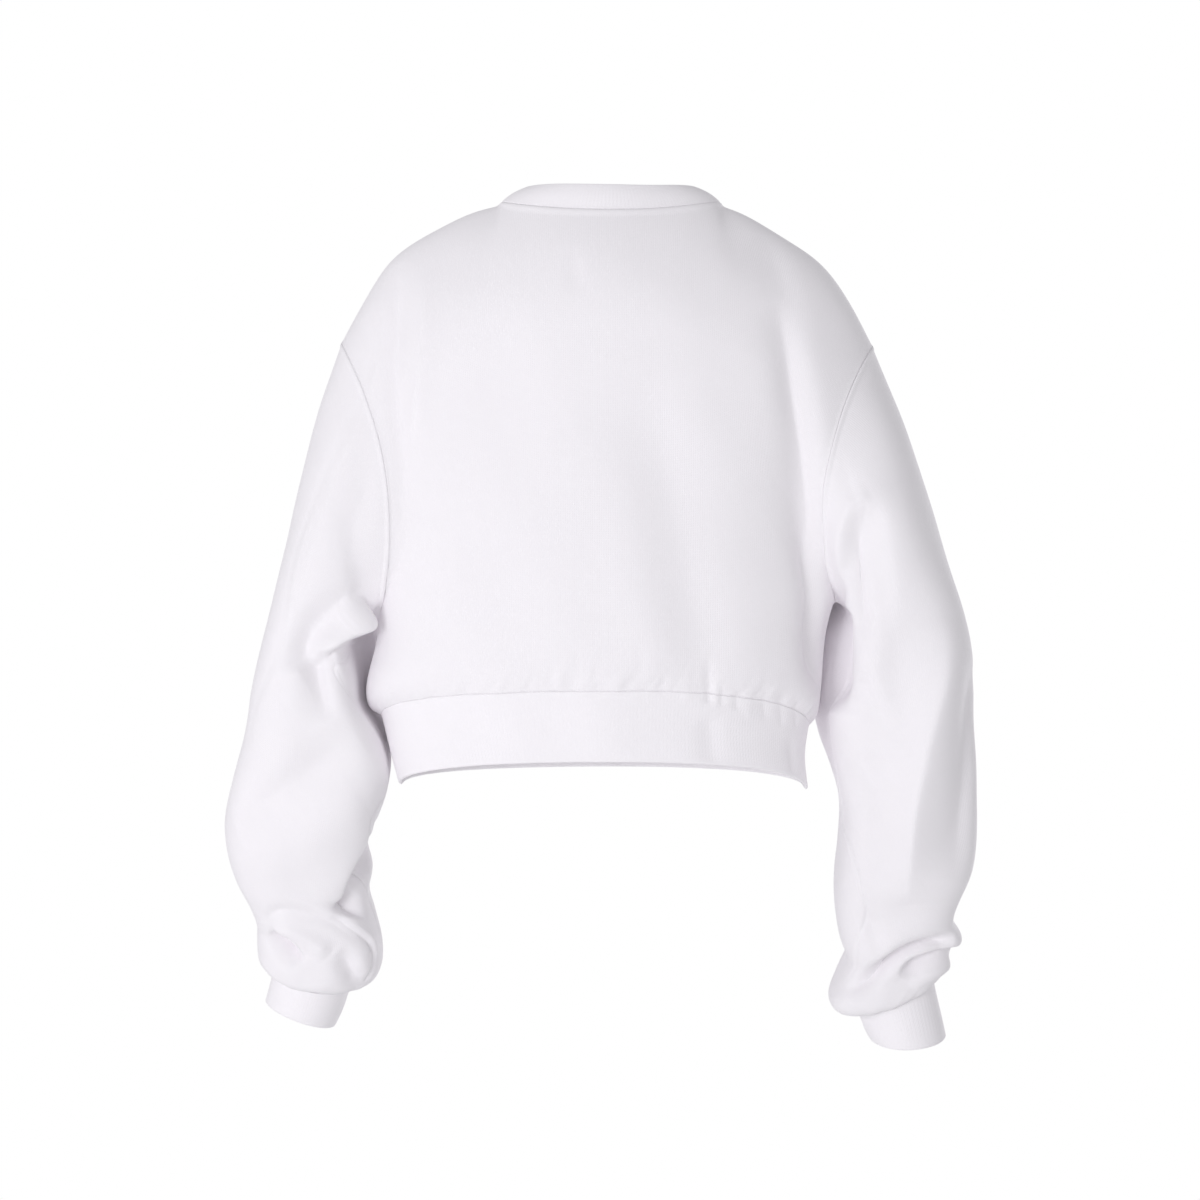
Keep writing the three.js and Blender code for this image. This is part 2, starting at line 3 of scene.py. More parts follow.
import bpy
import numpy as np
from bpy.props import FloatProperty, FloatVectorProperty, PointerProperty
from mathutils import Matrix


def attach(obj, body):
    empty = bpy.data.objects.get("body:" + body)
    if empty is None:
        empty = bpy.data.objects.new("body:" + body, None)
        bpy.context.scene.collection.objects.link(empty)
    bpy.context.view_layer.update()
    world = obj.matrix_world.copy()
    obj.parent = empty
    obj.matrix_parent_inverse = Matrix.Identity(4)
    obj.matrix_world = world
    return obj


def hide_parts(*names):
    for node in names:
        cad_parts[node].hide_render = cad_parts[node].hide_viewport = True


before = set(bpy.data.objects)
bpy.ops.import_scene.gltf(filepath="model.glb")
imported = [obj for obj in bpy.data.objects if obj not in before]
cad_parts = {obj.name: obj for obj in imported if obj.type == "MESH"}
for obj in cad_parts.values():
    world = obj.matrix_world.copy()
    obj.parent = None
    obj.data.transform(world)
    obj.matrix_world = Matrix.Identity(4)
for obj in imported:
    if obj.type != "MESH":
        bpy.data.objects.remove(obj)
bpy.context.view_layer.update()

bl_info = {
    "name": "Cropped sweatshirt",
    "version": (1, 0, 0),
    "blender": (4, 5, 0),
    "location": "3D View > Sidebar > Sweatshirt",
    "description": "A cropped, drop-shoulder crew-neck sweatshirt in the hollow form it has when worn",
    "category": "Add Mesh",
}

# ---- the worn form, in millimetres: +X is the wearer's left, +Y the back, +Z up ----
# Ovals of the neck seam and of the neck rib's free edge: half width, then y and z at the side, back and
# front.
NECK = {"half": 88.5, "side": (6, 1), "back": (58, -8.5), "front": (-86, -92)}
NECK_EDGE = {"half": 67, "side": (5, 13.5), "back": (50, 12), "front": (-67, -74)}
NECK_SHARE = 0.56  # where the neck ends and the shoulder starts, as a share of half a panel
CROSS_ROUND = 0.72  # power on the cosine that gives the torso its flattened oval
OVAL, FLATTENED = 2, 2.8  # n in a sleeve section's |x|^n + |y|^n = 1: an oval, and flatter sided with more

# Each side of the garment: it hangs a little to the wearer's left.
LEFT = {
    "sign": 1,
    # top x, top z, bottom x, bottom z, how far it bows in, and half its depth at the back and front
    "armhole": (220, -114, 190, -343, 25, 72, 68),
    # x, y, z along the shoulder seam, from the neck to the sleeve
    "shoulder": [
        (88.5, 6, 1), (120, 8, -9.5), (154, 8, -28.5), (180, 6, -48.5), (200, 3, -78.5), (220, 0, -114),
    ],
    # x, z up the body's side, from the waistband to the armhole, and down the waistband's side
    "flank": [(186, -417), (197, -413), (200, -399), (196, -380), (191, -361), (190, -343)],
    "band": [(186, -417), (179, -446), (172, -475)],
}
RIGHT = {
    "sign": -1,
    "armhole": (213, -117, 183, -324, 25, 72, 68),
    "shoulder": [
        (88.5, 6, 1), (113, 8, -9.5), (146, 8, -29.5), (171, 6, -49.5), (192, 3, -80), (213, 0, -117),
    ],
    "flank": [(161, -428), (168.5, -421), (171, -404), (173, -380), (175.5, -352), (183, -324)],
    "band": [(161, -428), (157.5, -453), (160, -479)],
}

# The middle line of each panel as y, z rows: waistband seam, under the arms, yoke. Then how far the cloth
# bulges over the waistband, and the y, z of the hem.
BACK = {"sign": 1, "middle": [(101, -397), (110, -318), (98, -108)], "bulge": 3, "hem": (99, -453)}
FRONT = {"sign": -1, "middle": [(-112, -408), (-123, -330), (-122, -196)], "bulge": 6, "hem": (-108, -465)}
SIDE_DROP = 2.2  # power on the share across that takes the middle's z to the side's

# Sections down each sleeve after the armhole: outer end x, z, inner end x, z, middle y, half depths at the
# back and front, and how far the front leans in towards the body.
LEFT_SLEEVE = [
    (238, -168, 208, -341, 1, 73, 70, 10),
    (252, -218, 208, -364, 2, 72, 70, 42),
    (265, -275, 207, -387, 3, 69, 68, 38),
    (277, -332, 205, -408, 3, 66, 65, 28),
    (289, -383, 193, -430, 2, 62, 62, 30),
    (300, -427, 184, -453, -1, 61, 60, 20),
    (309, -466, 183, -476, -4, 59, 58, 6),
    (315, -500, 191, -500, -9, 56, 55, 0),
    (314, -527, 201, -521, -14, 54, 53, 0),
    (308, -550, 197, -545, -20, 51, 50, 0),
    (297, -572, 201, -564, -26, 48, 48, 0),
    (291, -589, 195, -586, -31, 45, 47, 0),
    (291, -605, 190, -606, -34, 44, 47, 0),
    (290, -620, 190, -626, -37, 45, 46, 0),
    (284, -628, 199, -641, -39, 43, 44, 0),
    (279, -630, 217, -646, -40, 35, 35, 0),
]
RIGHT_SLEEVE = [
    (236, -173, 193, -332, 1, 73, 70, 8),
    (252, -222, 186, -351, 2, 72, 70, 50),
    (268, -275, 181.5, -379, 3, 69, 68, 60),
    (285, -332, 178.5, -409, 3, 66, 65, 56),
    (293, -383, 180, -437, 2, 62, 62, 42),
    (297, -430, 185, -463, -1, 61, 60, 22),
    (298, -470, 189.5, -490, -5, 59, 58, 6),
    (298.5, -508, 187.5, -522, -10, 57, 56, 0),
    (296, -540, 185, -552, -16, 55, 54, 0),
    (286, -566, 186, -578, -22, 50, 50, 0),
    (280, -583, 191, -605, -27, 46, 47, 0),
    (288, -597, 196, -619, -31, 44, 46, 0),
    (283, -611, 188, -637, -35, 43, 46, 0),
    (278, -624, 181, -655, -38, 44, 46, 0),
    (273, -633, 189, -667, -40, 42, 43, 0),
    (268, -637, 205, -668, -41, 35, 35, 0),
]
# Sections down each cuff after the sleeve's last.
LEFT_CUFF = [(281, -641, 222, -661, -42, 34, 34, 0), (285, -657, 230, -677, -44, 34, 34, 0)]
RIGHT_CUFF = [(273, -662, 211, -682, -44, 35, 35, 0), (277, -686, 217, -690, -47, 35, 35, 0)]

# How far the underarm seam has turned towards the back: pairs of a share of the sleeve's length and
# millimetres.
UNDERARM_SEAM = {
    "sleeve_left": [
        (0, 0), (0.12, 10), (0.2, 46), (0.25, 64), (0.28, 42), (0.32, 10), (0.4, -2), (0.47, 7), (0.53, 27),
        (0.57, 38), (0.66, 22), (0.8, 4), (1, 0),
    ],
    "sleeve_right": [
        (0, 0), (0.3, 0), (0.47, 2), (0.55, 15), (0.58, 36), (0.63, 50), (0.69, 55), (0.78, 37), (0.9, 18),
        (1, 10),
    ],
}

# Folds and creases: left, right, deep, crest, lean, start, end and a path of places on the cloth. Walking
# the path, with the outside up, a fold reaches left and right to either hand, sinks deep (stands out where
# negative) and pushes the cloth lean to the right hand. crest is 1 for a sharp line and 2 for a soft one;
# start and end are the shares over which it fades in and out. Places of x and z lie on the cloth that shows
# from behind; places of x, y and z go to the cloth nearest them.
FOLDS = [
    # back of the body
    (12, 11, 6.5, 1.7, 0, 0.3, 0.35,  # trough behind the left arm
     [(173, -50), (174, -90), (176, -145), (172, -180), (168, -230), (167, -268)]),
    (12, 6, -3, 1.6, 0, 0.3, 0.35,  # roll beside it
     [(149, -58), (150, -105), (152, -136), (157, -172), (159, -196)]),
    (9, 20, 13.5, 1.6, 3, 0.35, 0.15,  # deep fold behind the right arm
     [(-132, -83), (-145, -125), (-154, -175), (-160, -228), (-164, -292), (-167, -356), (-169, -397)]),
    (14, 24, 3, 2, 0, 0.45, 0.4,  # its start at the shoulder
     [(-120, -25), (-130, -50), (-140, -87), (-150, -125)]),
    (26, 34, 5, 1.9, 0, 0.45, 0.12,  # long trough from the shoulder blade
     [(-23, -133), (-32, -180), (-45, -245), (-63, -325), (-81, -399)]),
    (26, 26, -2.2, 2, 0, 0.4, 0.3,  # roll left of the long trough
     [(0, -180), (-13, -260), (-31, -340), (-48, -394)]),
    (7, 8, 1.1, 2, 0, 0.5, 0.5,  # dimple below the neck
     [(30, -42), (28, -82)]),
    (30, 26, -2, 2, 0, 0.4, 0.4,  # low roll at the left side
     [(127, -148), (132, -220), (137, -292), (140, -356)]),
    # left sleeve, from behind
    (2.4, 4, 1.1, 1.2, 0, 0.08, 0.22,  # pressed crease
     [(185, -60), (189, -100), (193, -134), (201, -160), (217, -197), (234, -233), (246, -264), (256, -297),
      (263, -340), (273, -376), (286, -405), (299, -446)]),
    (6, 4, -0.8, 1.6, 0, 0.3, 0.5,  # roll beside the crease
     [(193, -163), (208, -195), (221, -228), (235, -268), (246, -312)]),
    (7, 6, 1.6, 1.8, 0, 0.4, 0.4,  # shallow behind the seam
     [(197, -90), (196, -124), (200, -151)]),
    (12, 16, 4, 1.8, 0, 0.35, 0.3,  # trough below the armhole
     [(195, -195), (198, -236), (207, -264), (213, -316), (217, -344)]),
    (15, 7, -9, 1.9, 5, 0.4, 0.05,  # overhang above the elbow
     [(235, 72, -365), (227, 73, -358), (218, 72, -350), (208, 64, -341), (192, 34, -330)]),
    (8, 20, 13, 2, 0, 0.4, 0.4,  # hollow under the overhang
     [(251, -385), (240, -379), (226, -371), (210, -363), (198, -355)]),
    (13, 14, 17, 1.9, 0, 0.25, 0.45,  # curl from the hollow up
     [(251, -383), (250, -367), (245, -354), (234, -342), (219, -331), (204, -323)]),
    (13, 12, 9, 1.8, 0, 0.25, 0.45,  # curl from the hollow down
     [(243, -375), (238, -391), (232, -407), (226, -422)]),
    (9, 11, -1.5, 1.8, 0, 0.3, 0.4,  # roll at the inner elbow
     [(209, -410), (200, -423), (191, -439), (188, -462)]),
    (18, 24, 9.5, 1.9, 0, 0.25, 0.4,  # slack across the forearm
     [(303, -507), (275, -487), (251, -470), (226, -453), (204, -438)]),
    (28, 26, -2.5, 1.9, 0, 0.35, 0.3,  # slack roll below it
     [(287, -551), (252, -523), (219, -498), (200, -486)]),
    (5, 4, 2.8, 1.6, 0, 0.2, 0.25,  # arch above the cuff
     [(283, -590), (279, -582), (270, -577), (257, -578), (245, -581), (233, -586), (221, -593),
      (199, -609)]),
    (7, 8, -5, 1.9, 0, 0.25, 0.2,  # roll under the arch
     [(277, -592), (265, -593), (253, -598), (241, -605), (231, -614)]),
    (3.6, 8, 20, 1.8, -3.5, 0.3, 0.45,  # crease under the roll
     [(280, -597), (273, -601), (266, -606), (259, -613), (251, -619)]),
    (6, 5, -2, 1.9, 0, 0.3, 0.35,  # second roll
     [(287, -622), (276, -632), (263, -638), (250, -640), (235, -639), (223, -634)]),
    (7, 10, 8, 2.1, 0, 0.5, 0.35,  # trough at the wrist side
     [(224, -612), (218, -618), (213, -625), (208, -634), (203, -642)]),
    (4, 13, -5, 1.7, -7, 0.35, 0.2,  # inner edge of the forearm
     [(191, -493), (202, -514), (212, -532), (220, -550), (225, -566), (228, -578)]),
    (3.4, 3, 3.4, 1.3, 0, 0.25, 0.3,  # its lower crease
     [(229, -582), (220, -587), (212, -593), (204, -599), (198, -605), (195, -614)]),
    (3, 3, -2.6, 1.4, 0, 0.3, 0.4,  # edge beside it
     [(220, -585), (211, -590), (203, -595), (197, -601), (193, -610), (192, -622)]),
    (3, 3, 2.6, 1.4, 0, 0.3, 0.3,  # inner fold at the wrist
     [(196, -606), (194, -618), (197, -633), (203, -642)]),
    # right sleeve, from behind
    (8, 9, -6, 1.7, 0, 0.35, 0.2,  # arched roll below the armhole, inner limb
     [(-190, -324), (-186, -292), (-186, -268), (-192, -250), (-206, -242)]),
    (18, 9, -5.5, 1.8, 0, 0.25, 0.5,  # arched roll below the armhole, outer limb
     [(-196, -246), (-207, -244), (-217, -256), (-223, -284), (-229, -324), (-232, -364)]),
    (8, 8, 8, 1.7, 0, 0.3, 0.35,  # hollow inside the arch
     [(-199, -256), (-197, -292), (-200, -326), (-205, -356)]),
    (12, 14, -4.5, 1.9, 0, 0.35, 0.4,  # long roll down the arm
     [(-218, -324), (-215, -356), (-211, -388), (-220, -422), (-228, -453)]),
    (32, 30, -8, 1.7, 0, 0.25, 0.25,  # turn of the outer arm
     [(-211, -150), (-224, -227), (-241, -292), (-261, -340), (-264, -380), (-254, -441), (-246, -485),
      (-240, -551)]),
    (15, 26, 9, 2, 0, 0.3, 0.35,  # trough outside the turn
     [(-290, -373), (-288, -405), (-287, -441), (-285, -478), (-281, -518), (-275, -551)]),
    (25, 14, -12.5, 1.3, 0, 0.3, 0.25,  # edge of the turn
     [(-265, -340), (-263, -384), (-257, -416), (-251, -446), (-244, -489), (-241, -534), (-241, -571)]),
    (8, 12, 4.5, 1.7, 0, 0.35, 0.4,  # lower curve of the hollow
     [(-202, -382), (-206, -396), (-216, -416), (-232, -438)]),
    (16, 15, 4, 1.9, 0, 0.35, 0.4,  # slack below the elbow
     [(-187, -454), (-203, -482), (-214, -522), (-218, -561)]),
    (9, 9, 2.6, 2, 0, 0.5, 0.5,  # patch below the elbow
     [(-205, -446), (-216, -456), (-229, -466)]),
    (9, 7, 3.2, 2, 0, 0.4, 0.4,  # dent beside the seam
     [(-206, -572), (-213, -594), (-220, -614)]),
    (4, 8, 14, 2, -1, 0.4, 0.35,  # wrist crease
     [(-193, -646), (-203, -637), (-214, -629), (-225, -620), (-236, -612), (-247, -607), (-261, -603),
      (-272, -601), (-280, -601)]),
    (5, 6, -3.5, 1.9, 0, 0.4, 0.3,  # lower roll
     [(-209, -643), (-222, -633), (-233, -624), (-245, -617), (-258, -611), (-271, -608)]),
    # waistband, from behind
    (9, 10, 2, 1.9, 0, 0.15, 0.3,  # trough into the band
     [(-77, -416), (-79, -431), (-80, -445), (-78, -455)]),
    (7, 7, 1.4, 1.9, 0, 0.35, 0.35,  # dent at the right side
     [(-144, -433), (-146, -451), (-150, -474)]),
    (24, 24, 1.2, 2, 0, 0.2, 0.2,  # trough of the band's wave
     [(113, -408), (110, -432), (105, -456)]),
    (26, 26, -1.2, 2, 0, 0.2, 0.2,  # its roll
     [(9, -403), (7, -427), (6, -451)]),
    # round the sides of the sleeves, and in their hollows
    (11, 8, -3.6, 2, 1.5, 0.35, 0.35,  # roll above the wrist crease
     [(-188, -29, -638), (-198, -8, -628), (-209, 8, -617), (-219, 16, -608), (-232, 20, -599),
      (-245, 22, -593), (-260, 20, -590), (-274, 9, -590), (-288, -2, -599), (-290, -18, -599),
      (-285, -40, -597)]),
    (4, 9, 14, 2, -1, 0.3, 0.5,  # short crease over the cuff
     [(-238, 7, -632), (-242, 8, -625), (-249, 8, -620), (-259, 8, -617), (-269, 6, -615), (-283, -2, -614),
      (-284, -14, -614), (-281, -34, -613)]),
    (7, 7, -4, 1.9, 0, 0.35, 0.4,  # roll under the short crease
     [(-246, 5, -642), (-255, 5, -635), (-265, 2, -630), (-276, -10, -626), (-277, -22, -626),
      (-273, -38, -624)]),
    (15, 13, -12, 2.1, 0, 0.35, 0.3,  # edge of the overhang
     [(212, 66, -322), (208, 58, -338), (206, 50, -353)]),
    (14, 20, 19, 2.2, 0, 0.35, 0.1,  # hollow under the forearm
     [(190, -22, -520), (193, 4, -545), (199, 20, -566), (206, 26, -586)]),
    (37, 24, 20, 3.5, 0, 0.2, 0.35,  # deep underarm hollow
     [(-187, 20, -330), (-183, 20, -355), (-180, 20, -385), (-180, 20, -416)]),
    # front of the body
    (20, 12, 7.5, 1.6, -2, 0.35, 0.35,  # fold before the left arm
     [(150, -52, -92), (160, -66, -130), (166, -72, -180), (168, -76, -235), (170, -72, -290)]),
    (12, 20, 8, 1.6, 2, 0.35, 0.35,  # fold before the right arm
     [(-146, -52, -95), (-156, -66, -135), (-160, -72, -185), (-161, -74, -240), (-160, -72, -300)]),
    (14, 14, -2.4, 1.9, 0, 0.4, 0.4,  # roll beside the left fold
     [(138, -70, -110), (144, -84, -170), (146, -90, -230)]),
    (14, 14, -2.4, 1.9, 0, 0.4, 0.4,  # roll beside the right fold
     [(-132, -70, -112), (-138, -84, -172), (-140, -90, -240)]),
    (34, 28, 5.2, 1.9, 0, 0.45, 0.12,  # long trough from the chest, left
     [(46, -120, -205), (60, -122, -270), (82, -118, -330), (104, -106, -398)]),
    (26, 30, 4, 1.9, 0, 0.45, 0.12,  # long trough from the chest, right
     [(-36, -120, -230), (-52, -122, -290), (-70, -118, -345), (-88, -108, -402)]),
    (30, 30, 2.2, 2, 0, 0.4, 0.4,  # slack under the chest
     [(-60, -118, -262), (0, -124, -278), (64, -118, -258)]),
    (16, 18, 2.6, 2, 0, 0.4, 0.45,  # slack from the neck, left
     [(52, -92, -100), (72, -100, -140), (84, -106, -190)]),
    (18, 16, 2.4, 2, 0, 0.4, 0.45,  # slack from the neck, right
     [(-50, -92, -100), (-72, -100, -142), (-86, -106, -195)]),
    # left sleeve, seen from in front
    (16, 16, 6, 1.8, 0, 0.35, 0.4,  # trough below the armhole
     [(206, -50, -200), (220, -64, -255), (230, -68, -330)]),
    (14, 14, -2.6, 1.9, 0, 0.4, 0.4,  # roll below the armhole
     [(232, -52, -215), (248, -62, -275), (256, -64, -340)]),
    (6, 13, 5.5, 1.5, -1.2, 0.3, 0.35,  # elbow fold 1
     [(204, -46, -398), (228, -66, -412), (262, -66, -416), (292, -40, -410)]),
    (11, 7, -3.6, 1.8, 1.2, 0.3, 0.35,  # elbow roll 1
     [(206, -50, -384), (230, -68, -398), (262, -68, -402), (292, -40, -396)]),
    (7, 14, 5, 1.5, 0, 0.3, 0.35,  # elbow fold 2
     [(200, -30, -440), (222, -60, -450), (254, -66, -448), (288, -50, -436)]),
    (14, 8, 3.6, 1.7, 0, 0.35, 0.35,  # elbow fold 3
     [(204, -30, -500), (226, -58, -492), (256, -66, -478), (290, -56, -462)]),
    (18, 16, 3.2, 1.9, 0, 0.4, 0.4,  # slack of the forearm
     [(214, -50, -560), (246, -72, -534), (282, -66, -512)]),
    (8, 7, -3.2, 1.7, 1, 0.3, 0.3,  # roll over the cuff
     [(204, -60, -600), (226, -84, -604), (256, -84, -600), (282, -66, -590)]),
    (4.5, 8, 4.8, 1.3, 0, 0.3, 0.3,  # crease over the cuff
     [(206, -62, -611), (228, -84, -615), (256, -84, -612), (282, -64, -603)]),
    (12, 6, 3, 1.6, 0, 0.3, 0.3,  # upper crease
     [(206, -56, -578), (230, -80, -584), (258, -80, -578), (284, -62, -566)]),
    (5, 5, 1.6, 1.8, 0, 0.4, 0.2,  # dent at the cuff
     [(236, -80, -622), (240, -80, -632), (243, -78, -640)]),
    # right sleeve, seen from in front
    (16, 16, 6, 1.8, 0, 0.35, 0.4,  # trough below the armhole
     [(-202, -50, -205), (-216, -64, -265), (-226, -68, -338)]),
    (14, 14, -2.6, 1.9, 0, 0.4, 0.4,  # roll below the armhole
     [(-230, -52, -220), (-246, -62, -285), (-254, -64, -350)]),
    (6, 13, 5.5, 1.5, 1.2, 0.35, 0.3,  # elbow fold 1
     [(-292, -40, -418), (-264, -66, -424), (-230, -66, -420), (-204, -46, -404)]),
    (11, 7, -3.6, 1.8, 1.2, 0.35, 0.3,  # elbow roll 1
     [(-292, -40, -404), (-264, -68, -410), (-230, -68, -406), (-206, -50, -390)]),
    (7, 14, 4.6, 1.5, 0, 0.35, 0.3,  # elbow fold 2
     [(-288, -50, -446), (-256, -66, -458), (-224, -60, -460), (-200, -34, -450)]),
    (8, 14, 3.4, 1.7, 0, 0.35, 0.35,  # elbow fold 3
     [(-290, -56, -476), (-256, -66, -492), (-226, -58, -506), (-204, -34, -516)]),
    (16, 18, 3, 1.9, 0, 0.4, 0.4,  # slack of the forearm
     [(-284, -66, -532), (-248, -72, -552), (-216, -52, -578)]),
    (7, 8, -3.2, 1.7, 1, 0.3, 0.3,  # roll over the cuff
     [(-280, -68, -612), (-250, -86, -624), (-222, -84, -632), (-198, -62, -634)]),
    (4.5, 8, 4.8, 1.3, 0, 0.3, 0.3,  # crease over the cuff
     [(-276, -70, -624), (-250, -86, -636), (-222, -84, -643), (-200, -62, -645)]),
    (6, 12, 3, 1.6, 0, 0.3, 0.3,  # upper crease
     [(-282, -62, -590), (-252, -82, -602), (-224, -80, -610), (-198, -58, -612)]),
    (5, 5, 1.6, 1.8, 0, 0.4, 0.2,  # dent at the cuff
     [(-236, -84, -642), (-240, -82, -652), (-242, -80, -660)]),
    # outside of the elbows
    (20, 20, 2, 2, 0, 0.4, 0.4,  # outer elbow slack, left
     [(300, 20, -400), (308, 0, -450), (310, -20, -500)]),
    (20, 20, 2.2, 2, 0, 0.4, 0.4,  # outer elbow slack, right
     [(-294, 20, -400), (-298, 0, -455), (-298, -20, -510)]),
    # waistband, seen from in front
    (9, 10, 2, 1.9, 0, 0.15, 0.3,  # wave 1
     [(100, -104, -418), (102, -104, -440), (106, -102, -462)]),
    (10, 9, 1.8, 1.9, 0, 0.15, 0.3,  # wave 2
     [(-80, -104, -418), (-82, -104, -440), (-84, -102, -468)]),
    (26, 26, -1.2, 2, 0, 0.2, 0.2,  # wave 3
     [(10, -110, -414), (10, -110, -462)]),
]

# Gathers into the waistband's seam: x, top and low end in z, half the width, and how deep each sinks.
BACK_GATHERS = [
    (-78, -368, -407, 4.5, 2.3), (-84, -389, -407, 2.6, -1), (-88, -391, -408, 3, 1.2),
    (-100, -391, -412, 3.4, 1.2), (144, -378, -406, 5, 1), (154, -388, -407, 4, -0.7),
    (47, -373, -396, 4, 0.8), (41, -379, -396, 3, -0.6), (32, -378, -396, 4, 1), (27, -362, -396, 5, 0.8),
    (12, -371, -397, 4, 0.7), (-23, -348, -399, 6, 0.8), (-123, -391, -420, 4.5, 1.1),
    (-137, -396, -424, 4, 1), (-110, -396, -417, 4.5, -0.8), (-149, -396, -426, 4, 0.9),
    (115, -381, -401, 4.5, 0.6), (88, -378, -399, 5, -0.5), (66, -383, -397, 4, 0.6),
    (-5, -378, -399, 4.5, -0.5), (-40, -373, -401, 5, 0.6), (-60, -378, -404, 5, -0.7),
    (170, -388, -409, 4, 0.8), (180, -392, -413, 4, -0.7),
]
FRONT_GATHERS = [
    (-140, -398, -424, 4, 1.2), (-126, -392, -421, 4, -0.8), (-112, -380, -417, 5, 1.4),
    (-93, -388, -414, 4, -0.7), (-82, -374, -412, 5, 1.6), (-66, -386, -410, 4, -0.8),
    (-50, -382, -409, 4, 0.9), (-30, -386, -408, 4, -0.6), (-14, -380, -408, 5, 0.8),
    (8, -386, -408, 4, -0.6), (24, -382, -408, 4, 0.8), (42, -380, -408, 4, -0.7),
    (60, -374, -409, 5, 1.1), (78, -384, -410, 4, -0.8), (98, -372, -411, 5, 1.9),
    (106, -386, -412, 3, -1), (122, -384, -413, 4, 1.1), (140, -386, -414, 4, -0.9),
    (156, -388, -415, 4, 1.1),
]
FRONT_SEAM_Y = -108
GATHER_SHAPE = (1.6, 0, 0.6, 0.08)  # crest, lean, start and end of every gather


def gather_folds(rows, *y):
    """A fold for each gather: its places have a y only where one is given."""
    return [
        (half, half, deep, *GATHER_SHAPE, [(x, *y, top), (x, *y, low)]) for x, top, low, half, deep in rows
    ]


FOLDS += gather_folds(BACK_GATHERS) + gather_folds(FRONT_GATHERS, FRONT_SEAM_Y)

# ---- how finely each piece is cut ----
ROWS = {"side": 40, "under_arm": 80, "over_arm": 50}
COLUMNS = {"neck": 106, "shoulder": 84}
SLEEVE_RINGS = 289
# How far apart a sleeve's rings stand: pairs of a share of its length and a gap, finer where it is creased.
RING_GAPS = [(0, 1.1), (0.04, 2.3), (0.38, 2.2), (0.46, 1.6), (0.58, 1.8), (0.7, 2.1), (0.8, 1.4), (1, 1.1)]
RIB_RINGS = {"cuff": (34, 21), "waistband": (58, 33), "collar": (22, 19)}  # how long, and how many rings
ROUNDING = 1.4  # how far from an edge the rings crowd together
RIB_BOW = 1.5  # how far the neck rib bows out between its edges
SEAM = 0.006  # half the gap left between two pieces at a seam
EVENED, SETTLED = 30, 2  # rounds of evening out before and after the folds
FIRM_SEAM = 0.3  # how much of that evening the ribs' seams take
FOLD_STEP = 4  # length of the straight pieces that a fold's path is cut into


def along(rows, place):
    """A smooth curve through a table's rows (Catmull-Rom), at places counted in rows."""
    rows, place = np.asarray(rows, float), np.asarray(place, float)
    last = len(rows) - 1
    i = np.clip(np.floor(place).astype(int), 0, last - 1)
    s = (place - i)[..., None]
    padded = np.vstack([2 * rows[0] - rows[1], rows, 2 * rows[-1] - rows[-2]])
    before, a, b, after = (padded[i + k] for k in range(4))
    c, d = (b - before) / 2, (after - a) / 2
    return a + s * (c + s * (3 * (b - a) - 2 * c - d + s * (c + d - 2 * (b - a))))


def mix(a, b, share):
    """a + (b - a) times share."""
    return a + (b - a) * share


def smoothstep(x, low, high):
    """3t^2 - 2t^3 of the share t of the way from low to high."""
    t = np.clip((x - low) / (high - low), 0, 1)
    return t * t * (3 - 2 * t)


def unit(v):
    """Each vector over its own length."""
    return v / np.maximum(np.linalg.norm(v, axis=-1, keepdims=True), 1e-12)


def neck_oval(oval, sign, turn):
    """An oval round the neck: x is the half width times the sine of turn; y and z go with powers of its
    cosine."""
    c = np.maximum(np.cos(turn), 0) ** 0.9
    y, z = oval["back"] if sign > 0 else oval["front"]
    rise = c ** (2 if sign > 0 else 1.25)
    side_y, side_z = oval["side"]
    return np.stack([oval["half"] * np.sin(turn), mix(side_y, y, c), mix(side_z, z, rise)], -1)


def armhole(side, sign, turn):
    """The armhole seam: a tilted oval bowed inwards by its saddle times the sine squared of turn."""
    top_x, top_z, low_x, low_z, saddle, back, front = side["armhole"]
    s, up = np.sin(turn), (1 + np.cos(turn)) / 2
    depth = sign * (back if sign > 0 else front) * s
    return np.stack([mix(low_x, top_x, up) - saddle * s * s, depth, mix(low_z, top_z, up)], -1)


def lower_panel(panel, side, across, level):
    """A panel up to the yoke: each row is an arc whose depth is the middle's times the cosine of its turn
    to the power CROSS_ROUND, drawn out sideways to reach the body's side or the armhole."""
    middle = along(panel["middle"], np.minimum(level * 2, 2))
    hole = armhole(side, panel["sign"], np.pi * (1.5 - level))
    share = np.clip(level * 2, 0, 1)
    flank = along(side["flank"], share * (len(side["flank"]) - 1))
    armed = level >= 0.5
    end_x, end_z = np.where(armed, hole[:, 0], flank[:, 0]), np.where(armed, hole[:, 2], flank[:, 1])
    end_y = np.where(armed, hole[:, 1], 0)
    bulge = panel["sign"] * panel["bulge"] * np.sin(np.pi * np.sqrt(share))
    middle_y = middle[:, 0] + np.where(armed, 0, bulge)
    full = np.arccos(np.minimum(np.abs(end_y / middle_y), 1) ** (1 / CROSS_ROUND))[:, None]
    turn = across * full
    x = end_x[:, None] * np.sin(turn) / np.sin(full)
    y = middle_y[:, None] * np.maximum(np.cos(turn), 0) ** CROSS_ROUND
    z = mix(middle[:, 1:], end_z[:, None], across**SIDE_DROP)
    return np.stack([x, y, z], -1)


def panel_top(panel, side, across):
    """A panel's top edge: the neck oval, then the shoulder table."""
    neck = neck_oval(NECK, panel["sign"], np.pi / 2 * np.minimum(across / NECK_SHARE, 1))
    share = np.clip((across - NECK_SHARE) / (1 - NECK_SHARE), 0, 1)
    shoulder = along(side["shoulder"], share * (len(side["shoulder"]) - 1))
    return np.where((across <= NECK_SHARE)[:, None], neck, shoulder)


